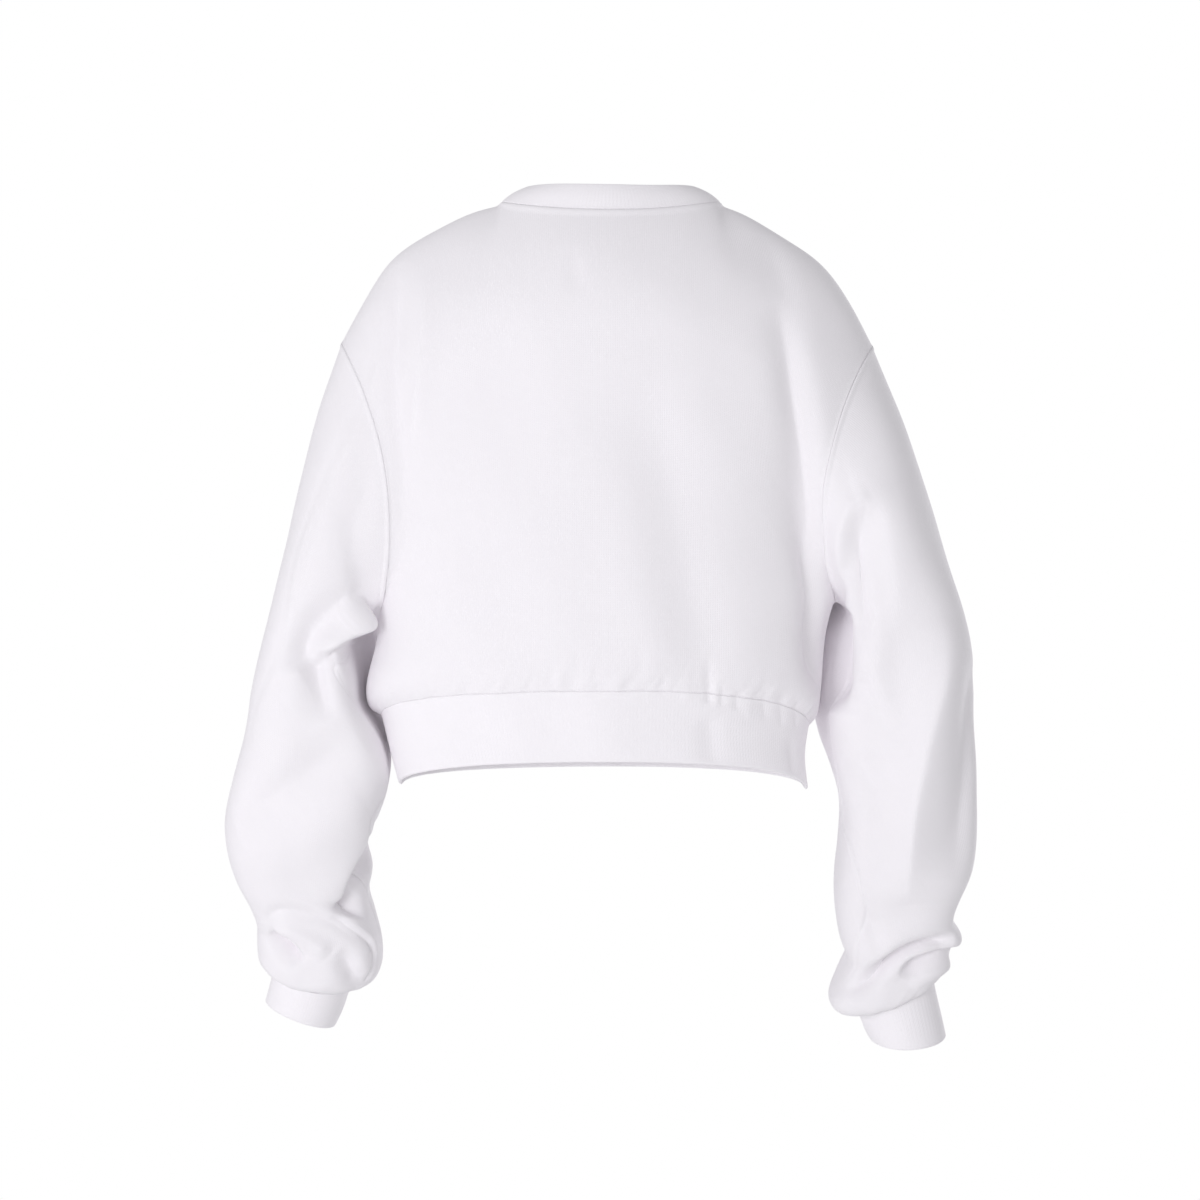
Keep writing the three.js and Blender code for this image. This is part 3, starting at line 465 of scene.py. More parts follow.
def softened_top(panel, across, rise):
    """The top edge as each row below it sees it: a Gaussian mean along the edge that widens from almost
    nothing at the top, so that the corner where neck meets shoulder fades out. The edge goes on past its
    ends by point reflection."""
    sides = [panel_top(panel, side, across) * [side["sign"], 1, 1] for side in (RIGHT, LEFT)]
    edge = np.concatenate([sides[0][:0:-1], sides[1]])
    place = np.concatenate([-across[:0:-1], across])
    edge = np.concatenate([2 * edge[0] - edge[:0:-1], edge, 2 * edge[-1] - edge[-2::-1]])
    far = np.concatenate([-2 - place[:0:-1], place, 2 - place[-2::-1]])
    share = np.gradient(far)
    rows = []
    for r in rise:
        width = 0.004 + 0.17 * (1 - r) ** 0.75  # a share of half the panel
        weight = np.exp(-(((place[:, None] - far) / width) ** 2)) * share
        rows.append(weight @ edge / weight.sum(1, keepdims=True))
    rows[-1] = edge[len(place) - 1 : 2 * len(place) - 1]
    return np.array(rows)


def upper_panel(panel, side, across, rise, top):
    """A panel over the shoulder: a quarter turn from the yoke to the top edge, blended towards the neck
    into a parabola that stands upright at the yoke."""
    yoke = lower_panel(panel, side, across, np.array([1.0]))
    turn = (np.pi / 2 * (1 - rise))[:, None]
    top_x, _, low_x, _, saddle, _, _ = side["armhole"]
    half = (top_x - low_x) / 2
    ease = (half * (1 - np.cos(turn)) + saddle * np.sin(turn) ** 2) / (half + saddle)
    r = (1 - rise)[:, None]
    round_ = smoothstep(across, NECK_SHARE * 0.55, NECK_SHARE * 1.2)  # 0 at the neck, 1 on the shoulder
    full = mix(0.78, 1, smoothstep(across, NECK_SHARE, 1))
    out = mix(r * (2 - r), np.sin(turn), round_)
    down = mix(r, (1 - np.cos(turn)) ** full, round_)
    x = mix(top[..., 0], yoke[..., 0], mix(out, ease, round_))
    y, z = mix(top[..., 1], yoke[..., 1], out), mix(top[..., 2], yoke[..., 2], down)
    return np.stack([x, y, z], -1)


def half_columns():
    """How far across half a panel its columns stand, from 0, the middle, to 1."""
    neck = np.linspace(0, NECK_SHARE, COLUMNS["neck"] + 1)
    return np.concatenate([neck, np.linspace(NECK_SHARE, 1, COLUMNS["shoulder"] + 1)[1:]])


def panel_grid(panel):
    """A whole panel, rows from the waistband seam to the top and columns from the wearer's right to left."""
    side, under_arm = ROWS["side"], ROWS["under_arm"]
    level = [np.linspace(0, 0.5, side, endpoint=False), np.linspace(0.5, 1, under_arm, endpoint=False)]
    level = np.concatenate(level)
    rise = np.linspace(0, 1, ROWS["over_arm"] + 1)
    across = half_columns()
    tops = softened_top(panel, across, rise)
    middle = len(across) - 1
    halves = []
    for side, top in ((RIGHT, tops[:, middle::-1]), (LEFT, tops[:, middle:])):
        flip = [side["sign"], 1, 1]
        half = [lower_panel(panel, side, across, level), upper_panel(panel, side, across, rise, top * flip)]
        halves.append(np.concatenate(half) * flip)
    return np.concatenate([halves[0][:, :0:-1], halves[1]], axis=1)


def loop_of(back, front):
    """One loop of the two panels' edges: the back's, then the front's the other way."""
    return np.concatenate([back, front[1:-1][::-1]])


def centres(sections, sign=1):
    """The middle of each section of a sleeve."""
    x, z = (sections[:, 0] + sections[:, 2]) / 2, (sections[:, 1] + sections[:, 3]) / 2
    return np.stack([sign * x, sections[:, 4], z], -1)


def ring_places(rows):
    """Places down a table whose rings stand as far apart as RING_GAPS says, found on 3000 fine steps."""
    fine = np.linspace(0, len(rows) - 1, 3000)
    centre = centres(along(rows, fine))
    step = np.linalg.norm(np.diff(centre, axis=0, prepend=centre[:1]), axis=1)
    share = np.cumsum(step) / step.sum()
    number = np.cumsum(step / np.interp(share, *zip(*RING_GAPS)))
    return np.interp(np.linspace(number[0], number[-1], SLEEVE_RINGS), number, fine)


def tube(side, rows, places):
    """Rings along a table of sections. A ring is an oval between its outer and inner ends, flatter sided
    the larger its power, square to the way the arm runs. Its x is drawn in by its saddle times the sine
    squared of the turn, and in front by its lean too, most towards the inner end."""
    over = np.linspace(0, np.pi / 2, ROWS["over_arm"], endpoint=False)
    half = np.concatenate([over, np.linspace(np.pi / 2, np.pi, ROWS["under_arm"] + 1)])
    turn = loop_of(half, half)
    up = np.where(np.arange(len(turn)) < len(half), 1, -1)
    sign = side["sign"]
    s = along(rows, places)
    before, after = (along(rows, np.clip(places + k, 0, len(rows) - 1)) for k in (-0.5, 0.5))
    heading = unit(centres(after, sign) - centres(before, sign))
    heading[:, 1] *= np.minimum(1, places / 3)  # the first sections stand upright, like the armhole
    out = np.stack([sign * (s[:, 0] - s[:, 2]) / 2, 0 * places, (s[:, 1] - s[:, 3]) / 2], -1)
    depth = unit(np.cross(out, heading))
    depth *= np.where(depth[:, 1:2] < 0, -1, 1)
    power = s[:, 9:10]
    full = (np.abs(np.cos(turn)) ** power + np.sin(turn) ** power) ** (-1 / power)
    reach = np.where(up > 0, s[:, 5:6], s[:, 6:7]) * np.sin(turn) * up * full
    across = np.cos(turn) * full
    rings = centres(s, sign)[:, None] + out[:, None] * across[..., None] + depth[:, None] * reach[..., None]
    lean = s[:, 7:8] * (up < 0) * (1 - np.cos(turn)) / 2
    rings[..., 0] -= sign * (s[:, 8:9] + lean) * np.sin(turn) ** 2
    return rings


def sleeve_and_cuff(side, seam_loop, sleeve_rows, cuff_rows):
    """A sleeve's rings from its armhole seam, and its cuff's from the sleeve's last ring. The armhole's bow
    fades over the next three sections, and the sections turn flatter sided over four and back over the last
    three."""
    top_x, top_z, low_x, low_z, saddle, back, front = side["armhole"]
    bows = [0.62 * saddle, 0.3 * saddle, 0.1 * saddle] + [0] * (len(sleeve_rows) - 3)
    wrist = len(sleeve_rows)
    order = np.arange(wrist)
    flat = mix(OVAL, FLATTENED, np.minimum(1, np.minimum((order + 1) / 4, (wrist - 1 - order) / 3)))
    rows = [(top_x, top_z, low_x, low_z, 0, back, front, 0, saddle, OVAL)]
    rows += [(*row, bow, power) for row, bow, power in zip(sleeve_rows, bows, flat)]
    rows += [(*row, 0, OVAL) for row in cuff_rows]
    sleeve = tube(side, rows, ring_places(rows[: wrist + 1]))
    cuff = tube(side, rows, wrist + edged(len(cuff_rows), *RIB_RINGS["cuff"]))
    sleeve[0], cuff[0] = seam_loop, sleeve[-1]
    return sleeve, cuff


def edged(top, length, count):
    """Places from 0 to top, as shares of a length, with extra ones near both ends for their rounding."""
    ends = ROUNDING * np.array([0, 0.12, 0.42, 0.8])
    inner = np.linspace(ROUNDING * 1.25, length - ROUNDING * 1.25, count - 2 * len(ends))
    return np.concatenate([ends, inner, length - ends[::-1]]) / length * top


def waistband_rings(seam_loop):
    """The waistband: arcs like the body's, from its seam to its hem."""
    across = half_columns()
    rings = []
    for share in edged(1, *RIB_RINGS["waistband"]):
        edges = []
        for panel in (BACK, FRONT):
            y, z = mix(np.array(panel["middle"][0], float), np.array(panel["hem"], float), share)
            halves = []
            for side in (RIGHT, LEFT):
                end_x, end_z = along(side["band"], np.array(share * 2))
                turn = across * np.pi / 2
                depth = np.maximum(np.cos(turn), 0) ** CROSS_ROUND
                drop = mix(z, end_z, across**SIDE_DROP)
                halves.append(np.stack([side["sign"] * end_x * np.sin(turn), y * depth, drop], -1))
            edges.append(np.concatenate([halves[0][:0:-1], halves[1]]))
        rings.append(loop_of(*edges))
    rings[0] = seam_loop
    return np.array(rings)


def collar_rings(seam_loop):
    """The neck rib: from the neck seam to the oval of its free edge, bowed up and out by a half sine."""
    turn = np.linspace(-np.pi / 2, np.pi / 2, 2 * COLUMNS["neck"] + 1)
    edge = loop_of(neck_oval(NECK_EDGE, 1, turn), neck_oval(NECK_EDGE, -1, turn))
    share = edged(1, *RIB_RINGS["collar"])[:, None, None]
    out = unit(seam_loop * [1, 1, 0]) + [0, 0, 1]
    return mix(seam_loop[None], edge[None], share) + RIB_BOW * np.sin(np.pi * share) * out


def worn_grids():
    """Every piece's middle surface as a grid of points, sharing its edge points with its neighbours."""
    back, front = panel_grid(BACK), panel_grid(FRONT)
    arm = slice(ROWS["side"], None)
    right_hole, left_hole = (loop_of(back[arm, i][::-1], front[arm, i][::-1]) for i in (0, -1))
    sleeve_left, cuff_left = sleeve_and_cuff(LEFT, left_hole, LEFT_SLEEVE, LEFT_CUFF)
    sleeve_right, cuff_right = sleeve_and_cuff(RIGHT, right_hole, RIGHT_SLEEVE, RIGHT_CUFF)
    neck = slice(COLUMNS["shoulder"], back.shape[1] - COLUMNS["shoulder"])
    return {
        "back": back,
        "front": front,
        "sleeve_left": sleeve_left,
        "sleeve_right": sleeve_right,
        "waistband": waistband_rings(loop_of(back[0], front[0])),
        "collar": collar_rings(loop_of(back[-1, neck], front[-1, neck])),
        "cuff_left": cuff_left,
        "cuff_right": cuff_right,
    }


FLIPPED = {"back", "sleeve_left", "collar", "cuff_left"}  # grids whose cells turn the other way
OPEN = {"back", "front"}  # grids that don't close round


def beside(grid, closed):
    """A grid with its first column again after its last, if it closes round."""
    return np.concatenate([grid, grid[:, :1]], axis=1) if closed else grid


def weld(grids):
    """One number for each place, so that pieces which share a seam share its points. Places are compared in
    hundredths of a millimetre, 20 bits to an axis, and moved a little first so that none lies where it
    rounds either way."""
    points = np.concatenate([g.reshape(-1, 3) for g in grids.values()])
    key = np.round((points + 0.00137) * 100).astype(np.int64) + 2**18
    key = key[:, 0] + key[:, 1] * 2**20 + key[:, 2] * 2**40
    _, first, number = np.unique(key, return_index=True, return_inverse=True)
    ids, at = {}, 0
    for name, g in grids.items():
        size = g.shape[0] * g.shape[1]
        ids[name] = number[at : at + size].reshape(g.shape[:2])
        at += size
    return points[first], ids


def scatter(index, values, count):
    """The sum of the values at each index."""
    return np.stack([np.bincount(index, values[:, k], count) for k in range(3)], -1)


def relax(points, ids, rounds):
    """Each point moves halfway to the mean of its neighbours, so the tables' joins don't show; free edges
    stay."""
    pairs = []
    for name, index in ids.items():
        wrapped = beside(index, name not in OPEN)
        pairs += [(wrapped[:, :-1].ravel(), wrapped[:, 1:].ravel()), (index[:-1].ravel(), index[1:].ravel())]
    a = np.concatenate([p[0] for p in pairs] + [p[1] for p in pairs])
    b = np.concatenate([p[1] for p in pairs] + [p[0] for p in pairs])
    share = 0.5 / np.maximum(np.bincount(a, minlength=len(points)), 1)[:, None]
    for name in ("waistband", "collar", "cuff_left", "cuff_right"):
        share[ids[name][-1]] = 0
        share[ids[name][0]] *= FIRM_SEAM
    for _ in range(rounds):
        points = points + share * (scatter(a, points[b] - points[a], len(points)))
    return points


def point_normals(points, ids):
    """Each cell's normal, the cross of its diagonals, summed at its corners over all the pieces."""
    index, values = [], []
    for name, grid in ids.items():
        g = beside(grid, name not in OPEN)
        p = points[g]
        normal = np.cross(p[1:, 1:] - p[:-1, :-1], p[1:, :-1] - p[:-1, 1:])
        normal = normal * (-1 if name in FLIPPED else 1)
        for corner in (g[:-1, :-1], g[:-1, 1:], g[1:, :-1], g[1:, 1:]):
            index.append(corner.ravel())
            values.append(unit(normal).reshape(-1, 3))
    return unit(scatter(np.concatenate(index), np.concatenate(values), len(points)))


def on_the_back(path, points, normals):
    """Finds y for a path given by x and z, on the cloth that shows there from behind: of the points that
    face back, the one with the least distance squared less a twentieth of its y, and from there along its
    own plane."""
    away = ((points[None][..., [0, 2]] - path[:, None]) ** 2).sum(-1) - 0.05 * points[:, 1]
    near = np.where(normals[:, 1] > 0, away, 1e6).argmin(1)
    point, normal = points[near], normals[near]
    rise = ((path - point[:, [0, 2]]) * normal[:, [0, 2]]).sum(1) / np.maximum(normal[:, 1], 0.3)
    return np.column_stack([path[:, 0], point[:, 1] - rise, path[:, 1]])


def fold_shift(points, normals):
    """How the folds move each point. Across a fold the depth goes as exp(-(distance / width)^crest), and
    along it as the sine of the way in from either end. Cloth that faces away from the fold stays where it
    is."""
    shift = np.zeros_like(points)
    coarse = np.arange(0, len(points), 5)  # every fifth point is enough to find the cloth below a path
    for left, right, deep, crest, lean, start, end, path in FOLDS:
        path = np.array(path, float)
        if path.shape[1] == 2:
            path = on_the_back(path, points[coarse], normals[coarse])
        near = coarse[((points[coarse][None] - path[:, None]) ** 2).sum(-1).argmin(1)]
        path -= normals[near] * ((path - points[near]) * normals[near]).sum(-1, keepdims=True)
        length = np.linalg.norm(np.diff(path, axis=0), axis=1).sum()
        places = np.linspace(0, len(path) - 1, max(int(length / FOLD_STEP), 4) + 1)
        line, up = along(path, places), unit(along(normals[near], places))
        reach = (2.6 if crest >= 1.5 else 4) * max(left, right)  # sharp crests have longer tails
        boxed = (points > line.min(0) - reach) & (points < line.max(0) + reach)
        chosen = np.flatnonzero(np.all(boxed, axis=1))
        p, n = points[chosen], normals[chosen]
        best = np.full(len(p), 1e12)
        share, tilt, offset = np.zeros(len(p)), np.zeros((len(p), 3)), np.zeros((len(p), 3))
        over = np.zeros((len(p), 3))
        for k in range(len(line) - 1):
            run = line[k + 1] - line[k]
            t = np.clip((p - line[k]) @ run / (run @ run), 0, 1)
            away = p - line[k] - t[:, None] * run
            far = (away**2).sum(-1)
            closer = far < best
            best = np.where(closer, far, best)
            share = np.where(closer, (k + t) / (len(line) - 1), share)
            face = mix(up[k], up[k + 1], t[:, None])
            over = np.where(closer[:, None], face, over)
            tilt = np.where(closer[:, None], np.cross(face, run), tilt)
            offset = np.where(closer[:, None], away, offset)
        tilt, over = unit(tilt), unit(over)
        width = np.where((offset * tilt).sum(-1) > 0, left, right)
        size = np.exp(-((np.sqrt(best) / width) ** crest))
        size *= np.sin(np.pi / 2 * np.clip(share / max(start, 1e-3), 0, 1))
        size *= np.sin(np.pi / 2 * np.clip((1 - share) / max(end, 1e-3), 0, 1))
        size *= smoothstep((n * over).sum(-1), 0.0, 0.5)
        shift[chosen] -= size[:, None] * (deep * n + lean * tilt)
    return shift


def unevenness(points):
    """Long, low waves of the worn cloth: sines of seeded directions and phases, added up, each as high as a
    small share of its length."""
    rng = np.random.default_rng(11)
    height = np.zeros(len(points))
    for length in np.geomspace(48, 190, 20):
        way = unit(rng.normal(size=3) * [1, 1, 0.7])
        height += 0.0022 * length * np.sin(points @ way * 2 * np.pi / length + rng.uniform(0, 2 * np.pi))
    return height


def lengths(grid, axis):
    """How far along each row or column every point stands from its first."""
    step = np.linalg.norm(np.diff(grid, axis=axis), axis=-1)
    start = np.zeros_like(np.take(step, [0], axis=axis))
    return np.concatenate([start, np.cumsum(step, axis=axis)], axis=axis)


def roll(distance, start, end, height):
    """A raised strip between two distances from a seam, with soft sides."""
    low, high = smoothstep(distance, start, start + 1.6), smoothstep(distance, end - 1.0, end + 1.4)
    return height * low * (1 - high)


def puckers(round_, distance, size, seed):
    """Small gathers that hang from a seam: seeded sines along it, fading away from it."""
    rng = np.random.default_rng(seed)
    wave = np.zeros_like(round_)
    for length in np.geomspace(7, 26, 9):
        wave += np.sin(2 * np.pi * round_ / length + rng.uniform(0, 2 * np.pi)) * length / 60
    return size * wave * np.exp(-((distance / 13) ** 2)) * (1 - np.exp(-((distance / 2.2) ** 2)))


FORM = {}


def worn_form():
    """Every piece's folded middle surface and normals, worked out once."""
    if FORM:
        return FORM
    points, ids = weld(worn_grids())
    points = relax(points, ids, EVENED)
    normals = point_normals(points, ids)
    points = points + fold_shift(points, normals) + unevenness(points)[:, None] * normals
    points = relax(points, ids, SETTLED)
    normals = point_normals(points, ids)
    for name, index in ids.items():
        FORM[name] = (points[index], normals[index])
    return FORM


def finer(grid, times):
    """A closed grid with more columns, on straight lines between its own."""
    n = grid.shape[1]
    place = np.arange(n * times) / times
    i, f = place.astype(int), (place % 1)[:, None]
    return grid[:, i] * (1 - f) + grid[:, (i + 1) % n] * f


def half_wall(distance, wall, radius, least):
    """Half the wall at a distance from an edge: a quarter circle out of the edge, then the whole half
    wall."""
    near = np.clip(distance / radius, 0, 1)
    return wall / 2 * (least + (1 - least) * np.sqrt(1 - (1 - near) ** 2))


def wall_mesh(name, middle, normals, outer, inner, pattern):
    """A closed wall: the middle surface moved out by outer and in by inner along its normals. The inner
    side has every second row and column, and rims of triangles join the two. UVs are the flat cloth, in
    metres."""
    closed, flipped = name not in OPEN, name in FLIPPED
    m, n = middle.shape[:2]
    middle = middle.copy()
    middle[0] += SEAM * unit(middle[1] - middle[0])
    middle[-1] += SEAM * unit(middle[-2] - middle[-1])
    if not closed:
        middle[:, 0] += SEAM * unit(middle[:, 1] - middle[:, 0])
        middle[:, -1] += SEAM * unit(middle[:, -2] - middle[:, -1])
    outside = middle + normals * outer[..., None]
    inside = (middle - normals * inner[..., None])[::2, ::2]
    uv = pattern / 1000
    big, small, big_uv = (np.arange(g[..., 0].size).reshape(g.shape[:2]) for g in (middle, inside, uv))
    big, small, small_uv = beside(big, closed), beside(m * n + small, closed), big_uv[::2, ::2]

    def cells(index):
        a, b, c, d = index[:-1, :-1], index[:-1, 1:], index[1:, 1:], index[1:, :-1]
        return np.stack([a, b, c, d], -1).reshape(-1, 4)

    quads = [cells(big), cells(small)[:, ::-1]]
    quad_uv = [cells(big_uv), cells(small_uv)[:, ::-1]]

    def rim(b, s, turned):
        b0, b1, b2, s0, s1 = b[:-1:2], b[1::2], b[2::2], s[:-1], s[1:]
        t = np.concatenate([np.stack(each, -1) for each in ((b0, s0, b1), (b1, s0, s1), (b1, s1, b2))])
        return t[:, ::-1] if turned else t

    edges = [(0, False), (-1, True)]
    tris = [rim(big[k], small[k], t) for k, t in edges]
    tri_uv = [rim(big_uv[k], small_uv[k], t) for k, t in edges]
    if not closed:
        tris += [rim(big[:, k], small[:, k], not t) for k, t in edges]
        tri_uv += [rim(big_uv[:, k], small_uv[:, k], not t) for k, t in edges]
    faces, face_uv = np.concatenate(quads), np.concatenate(quad_uv)
    ends, end_uv = np.concatenate(tris), np.concatenate(tri_uv)
    if flipped:
        faces, face_uv, ends, end_uv = (f[:, ::-1] for f in (faces, face_uv, ends, end_uv))
    mesh = bpy.data.meshes.new(name)
    points = np.concatenate([outside.reshape(-1, 3), inside.reshape(-1, 3)]) / 1000
    mesh.from_pydata(points.tolist(), [], faces.tolist() + ends.tolist())
    layer = mesh.uv_layers.new(name="flat_cloth")
    flat = uv.reshape(-1, 2)[np.concatenate([face_uv.ravel(), end_uv.ravel()])]
    layer.uv.foreach_set("vector", flat.astype(np.float32).ravel())
    mesh.polygons.foreach_set("use_smooth", np.ones(len(mesh.polygons), bool))
    mesh.validate()
    return mesh


def stand(name, data):
    """Adds an object with this data to the scene."""
    made = bpy.data.objects.new(name, data)
    bpy.context.scene.collection.objects.link(made)
    return made


def place_piece(name, node, mesh, material):
    """Adds a piece that stands for a CAD node, on the one body."""
    piece = stand(name, mesh)
    mesh.materials.append(material)
    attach(piece, "root")
    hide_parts(node)
    return piece


# ---- materials ----
def linear(code):
    """An sRGB hex colour as linear red, green and blue."""
    parts = [int(code[i : i + 2], 16) / 255 for i in (1, 3, 5)]
    return tuple(c / 12.92 if c <= 0.04045 else ((c + 0.055) / 1.055) ** 2.4 for c in parts)


def add(tree, kind, inputs=None, **settings):
    """Adds a node with its settings; an input is a value or the output that feeds it."""
    made = tree.nodes.new(kind)
    for key, value in settings.items():
        setattr(made, key, value)
    for key, value in (inputs or {}).items():
        if isinstance(value, bpy.types.NodeSocket):
            tree.links.new(value, made.inputs[key])
        else:
            made.inputs[key].default_value = value
    return made


def sums(tree, operation, *values, clamp=False):
    """A Math node's result."""
    inputs = dict(enumerate(values))
    return add(tree, "ShaderNodeMath", inputs, operation=operation, use_clamp=clamp).outputs[0]


def noise(tree, vector, scale, detail, roughness):
    """A Noise Texture's value."""
    inputs = {"Vector": vector, "Scale": scale, "Detail": detail, "Roughness": roughness}
    return add(tree, "ShaderNodeTexNoise", inputs).outputs[0]


def knitted(name, light, shade, wale, course, height, roughness, sheen):
    """Knitted cotton: columns of V stitches from the flat cloth's own u and v, a finer fuzz, and a faint
    drift of the white. wale and course are a stitch's width and height, and height is how far its relief
    stands out."""
    if name in bpy.data.materials:
        return bpy.data.materials[name]
    material = bpy.data.materials.new(name)
    material.use_nodes = True
    tree = material.node_tree
    tree.nodes.clear()
    flat = add(tree, "ShaderNodeUVMap", uv_map="flat_cloth").outputs[0]
    place = add(tree, "ShaderNodeTexCoord").outputs["Object"]
    parts = add(tree, "ShaderNodeSeparateXYZ", {0: flat})
    u = sums(tree, "MULTIPLY", parts.outputs[0], 1 / wale)
    v = sums(tree, "MULTIPLY", parts.outputs[1], 1 / course)
    # Each stitch is two slanted legs with a groove between it and the next: a faint vertical grain to the
    # eye.
    cross = sums(tree, "ABSOLUTE", sums(tree, "SUBTRACT", sums(tree, "FRACT", u), 0.5))
    leg = sums(tree, "SINE", sums(tree, "MULTIPLY", sums(tree, "ADD", v, cross), 2 * math.pi))
    groove = sums(tree, "POWER", sums(tree, "MULTIPLY", cross, 2), 3)
    knit = sums(tree, "SUBTRACT", sums(tree, "MULTIPLY", leg, 0.35), groove)
    # Loose fibres break up the stitches, so the cloth looks matt and soft.
    fuzz = noise(tree, flat, 900.0, 3.0, 0.6)
    relief = sums(tree, "ADD", knit, sums(tree, "MULTIPLY", fuzz, 1.6))
    bump = add(tree, "ShaderNodeBump", {"Strength": 1.0, "Distance": height, "Height": relief}).outputs[0]
    # The white drifts a little over a hand's breadth, and from yarn to yarn.
    drift = noise(tree, place, 7.0, 4.0, 0.55)
    grain = noise(tree, flat, 420.0, 2.0, 0.5)
    drift, grain = sums(tree, "MULTIPLY", drift, 0.55), sums(tree, "MULTIPLY", grain, 0.45)
    whites = {"Factor": sums(tree, "ADD", drift, grain, clamp=True), "A": (*shade, 1), "B": (*light, 1)}
    tint = add(tree, "ShaderNodeMix", whites, data_type="RGBA")
    surface = {
        "Base Color": tint.outputs["Result"],
        "Normal": bump,
        "Roughness": roughness,
        "Specular IOR Level": 0.25,
        "Sheen Weight": sheen,
        "Sheen Roughness": 0.6,
    }
    shader = add(tree, "ShaderNodeBsdfPrincipled", surface)
    add(tree, "ShaderNodeOutputMaterial", {"Surface": shader.outputs[0]})
    return material


def fleece():
    """Cotton fleece, loop-backed and smooth on its face: matt, chalky white, with a fine vertical grain."""
    cloth = bpy.context.scene.sweatshirt_cloth
    # Wales of heavy fleece are about 1.1 mm apart; drawn at 1.8 mm, so that they still show.
    knit = {"wale": 0.0018, "course": 0.0014, "height": 0.00006, "roughness": 0.9, "sheen": 0.12}
    return knitted("cotton_fleece", tuple(cloth.fleece_colour), tuple(cloth.fleece_shade), **knit)


def rib_knit():
    """Fine 1 by 1 cotton rib: the same yarn, a little brighter because it is double and pulled smooth."""
    cloth = bpy.context.scene.sweatshirt_cloth
    knit = {"wale": 0.00135, "course": 0.0012, "height": 0.00005, "roughness": 0.88, "sheen": 0.1}
    return knitted("cotton_rib", tuple(cloth.rib_colour), tuple(cloth.rib_shade), **knit)


# ---- the add-on ----
def length_setting(name, description, metres):
    """A length to set in the panel."""
    return FloatProperty(name=name, description=description, default=metres, unit="LENGTH")


def colour_setting(name, description, code):
    """A colour to set in the panel."""
    return FloatVectorProperty(name=name, description=description, default=linear(code), subtype="COLOR")


def power_setting(name, description, watts):
    """A light's power to set in the panel."""
    return FloatProperty(name=name, description=description, default=watts, unit="POWER")


class SweatshirtCloth(bpy.types.PropertyGroup):
    """Sizes and colours of the cloth."""

    fleece_wall: length_setting("Fleece wall", "Thickness of the body and sleeves", 0.0018)
    rib_wall: length_setting("Rib wall", "Thickness of the double rib", 0.0028)
    rib_pitch: length_setting("Rib pitch", "From one rib to the next", 0.0027)
    rib_height: length_setting("Rib height", "How far a rib stands out", 0.00003)
    gathers: length_setting("Gathers", "How far the gathers at the seams stand out", 0.0005)
    fleece_colour: colour_setting("Fleece", "Colour of the body and sleeves", "#F8F6F8")
    fleece_shade: colour_setting("Fleece shade", "Its darker drift", "#F3F1F3")
    rib_colour: colour_setting("Rib", "Colour of the ribbed bands", "#FAF8FA")
    rib_shade: colour_setting("Rib shade", "Its darker drift", "#F5F3F5")


class SweatshirtStudio(bpy.types.PropertyGroup):
    """The stage and its light."""

    key_power: power_setting("Key light", "Power of the large light behind the wearer's left", 38.5)
    front_power: power_setting("Front light", "Power of the large light before the wearer's right", 36.0)
    sky: FloatProperty(name="Surround", description="Strength of its white light", default=0.66, min=0, max=2)
    floor_depth: length_setting("Floor depth", "How far the floor lies below the neck", 1.45)
    floor_radius: length_setting("Floor radius", "Half the floor's width", 3.0)


def edge_distance(grid, closed):
    """The distance of every point from its piece's nearest edge, along its row or column."""
    down = lengths(grid, 0)
    near = np.minimum(down, down[-1:] - down)
    if not closed:
        across = lengths(grid, 1)
        near = np.minimum(near, np.minimum(across, across[:, -1:] - across))
    return near


def pattern_of(grid, closed):
    """The flat cloth's u and v in millimetres: lengths along each row from its middle, and up each
    column."""
    wrapped = beside(grid, closed)
    across = lengths(wrapped, 1)
    return np.stack([across - across[:, across.shape[1] // 2][:, None], lengths(wrapped, 0)], -1)


# How an edge rounds off: over what distance, and from what share of the wall.
SEAM_EDGE, RIB_SEAM_EDGE, FOLDED_EDGE = (1.1, 0.93), (1.2, 0.93), (1.4, 0.12)
# The raised strips where turned edges lie under the cloth: start, end and height.
NECK_ROLL, SHOULDER_ROLL = (-0.6, 5.4, 1.1), (0.8, 5.0, 0.25)
BODY_ARM_ROLL, SLEEVE_ARM_ROLL = (-1.6, 1.6, 0.6), (-1.6, 3.6, 0.9)


class SWEATSHIRT_OT_body(bpy.types.Operator):
    """Adds the back and the front, cut in cotton fleece"""

    bl_idname = "sweatshirt.body"
    bl_label = "Back and front"

    def execute(self, context):
        cloth = context.scene.sweatshirt_cloth
        for seed, name in enumerate(("back", "front")):
            middle, normals = worn_form()[name]
            down, across = lengths(middle, 0), lengths(middle, 1)
            top = down[-1:] - down
            count = middle.shape[1]
            column = np.abs(np.arange(count) - count // 2)
            neck = 1 - smoothstep(column, COLUMNS["neck"] - 4, COLUMNS["neck"] + 3)
            arm = smoothstep(np.arange(len(middle)), ROWS["side"] - 2, ROWS["side"] + 6)[:, None]
            inner = half_wall(edge_distance(middle, False), cloth.fleece_wall * 1000, *SEAM_EDGE)
            outer = inner + (roll(top, *NECK_ROLL) * neck + roll(top, *SHOULDER_ROLL) * (1 - neck))
            outer += roll(np.minimum(across, across[:, -1:] - across), *BODY_ARM_ROLL) * arm
            outer += puckers(across, down, cloth.gathers * 1000, 3 + seed)
            mesh = wall_mesh(name, middle, normals, outer, inner, pattern_of(middle, False))
            piece = place_piece(name + "_panel", name, mesh, fleece())
        return {"FINISHED"}


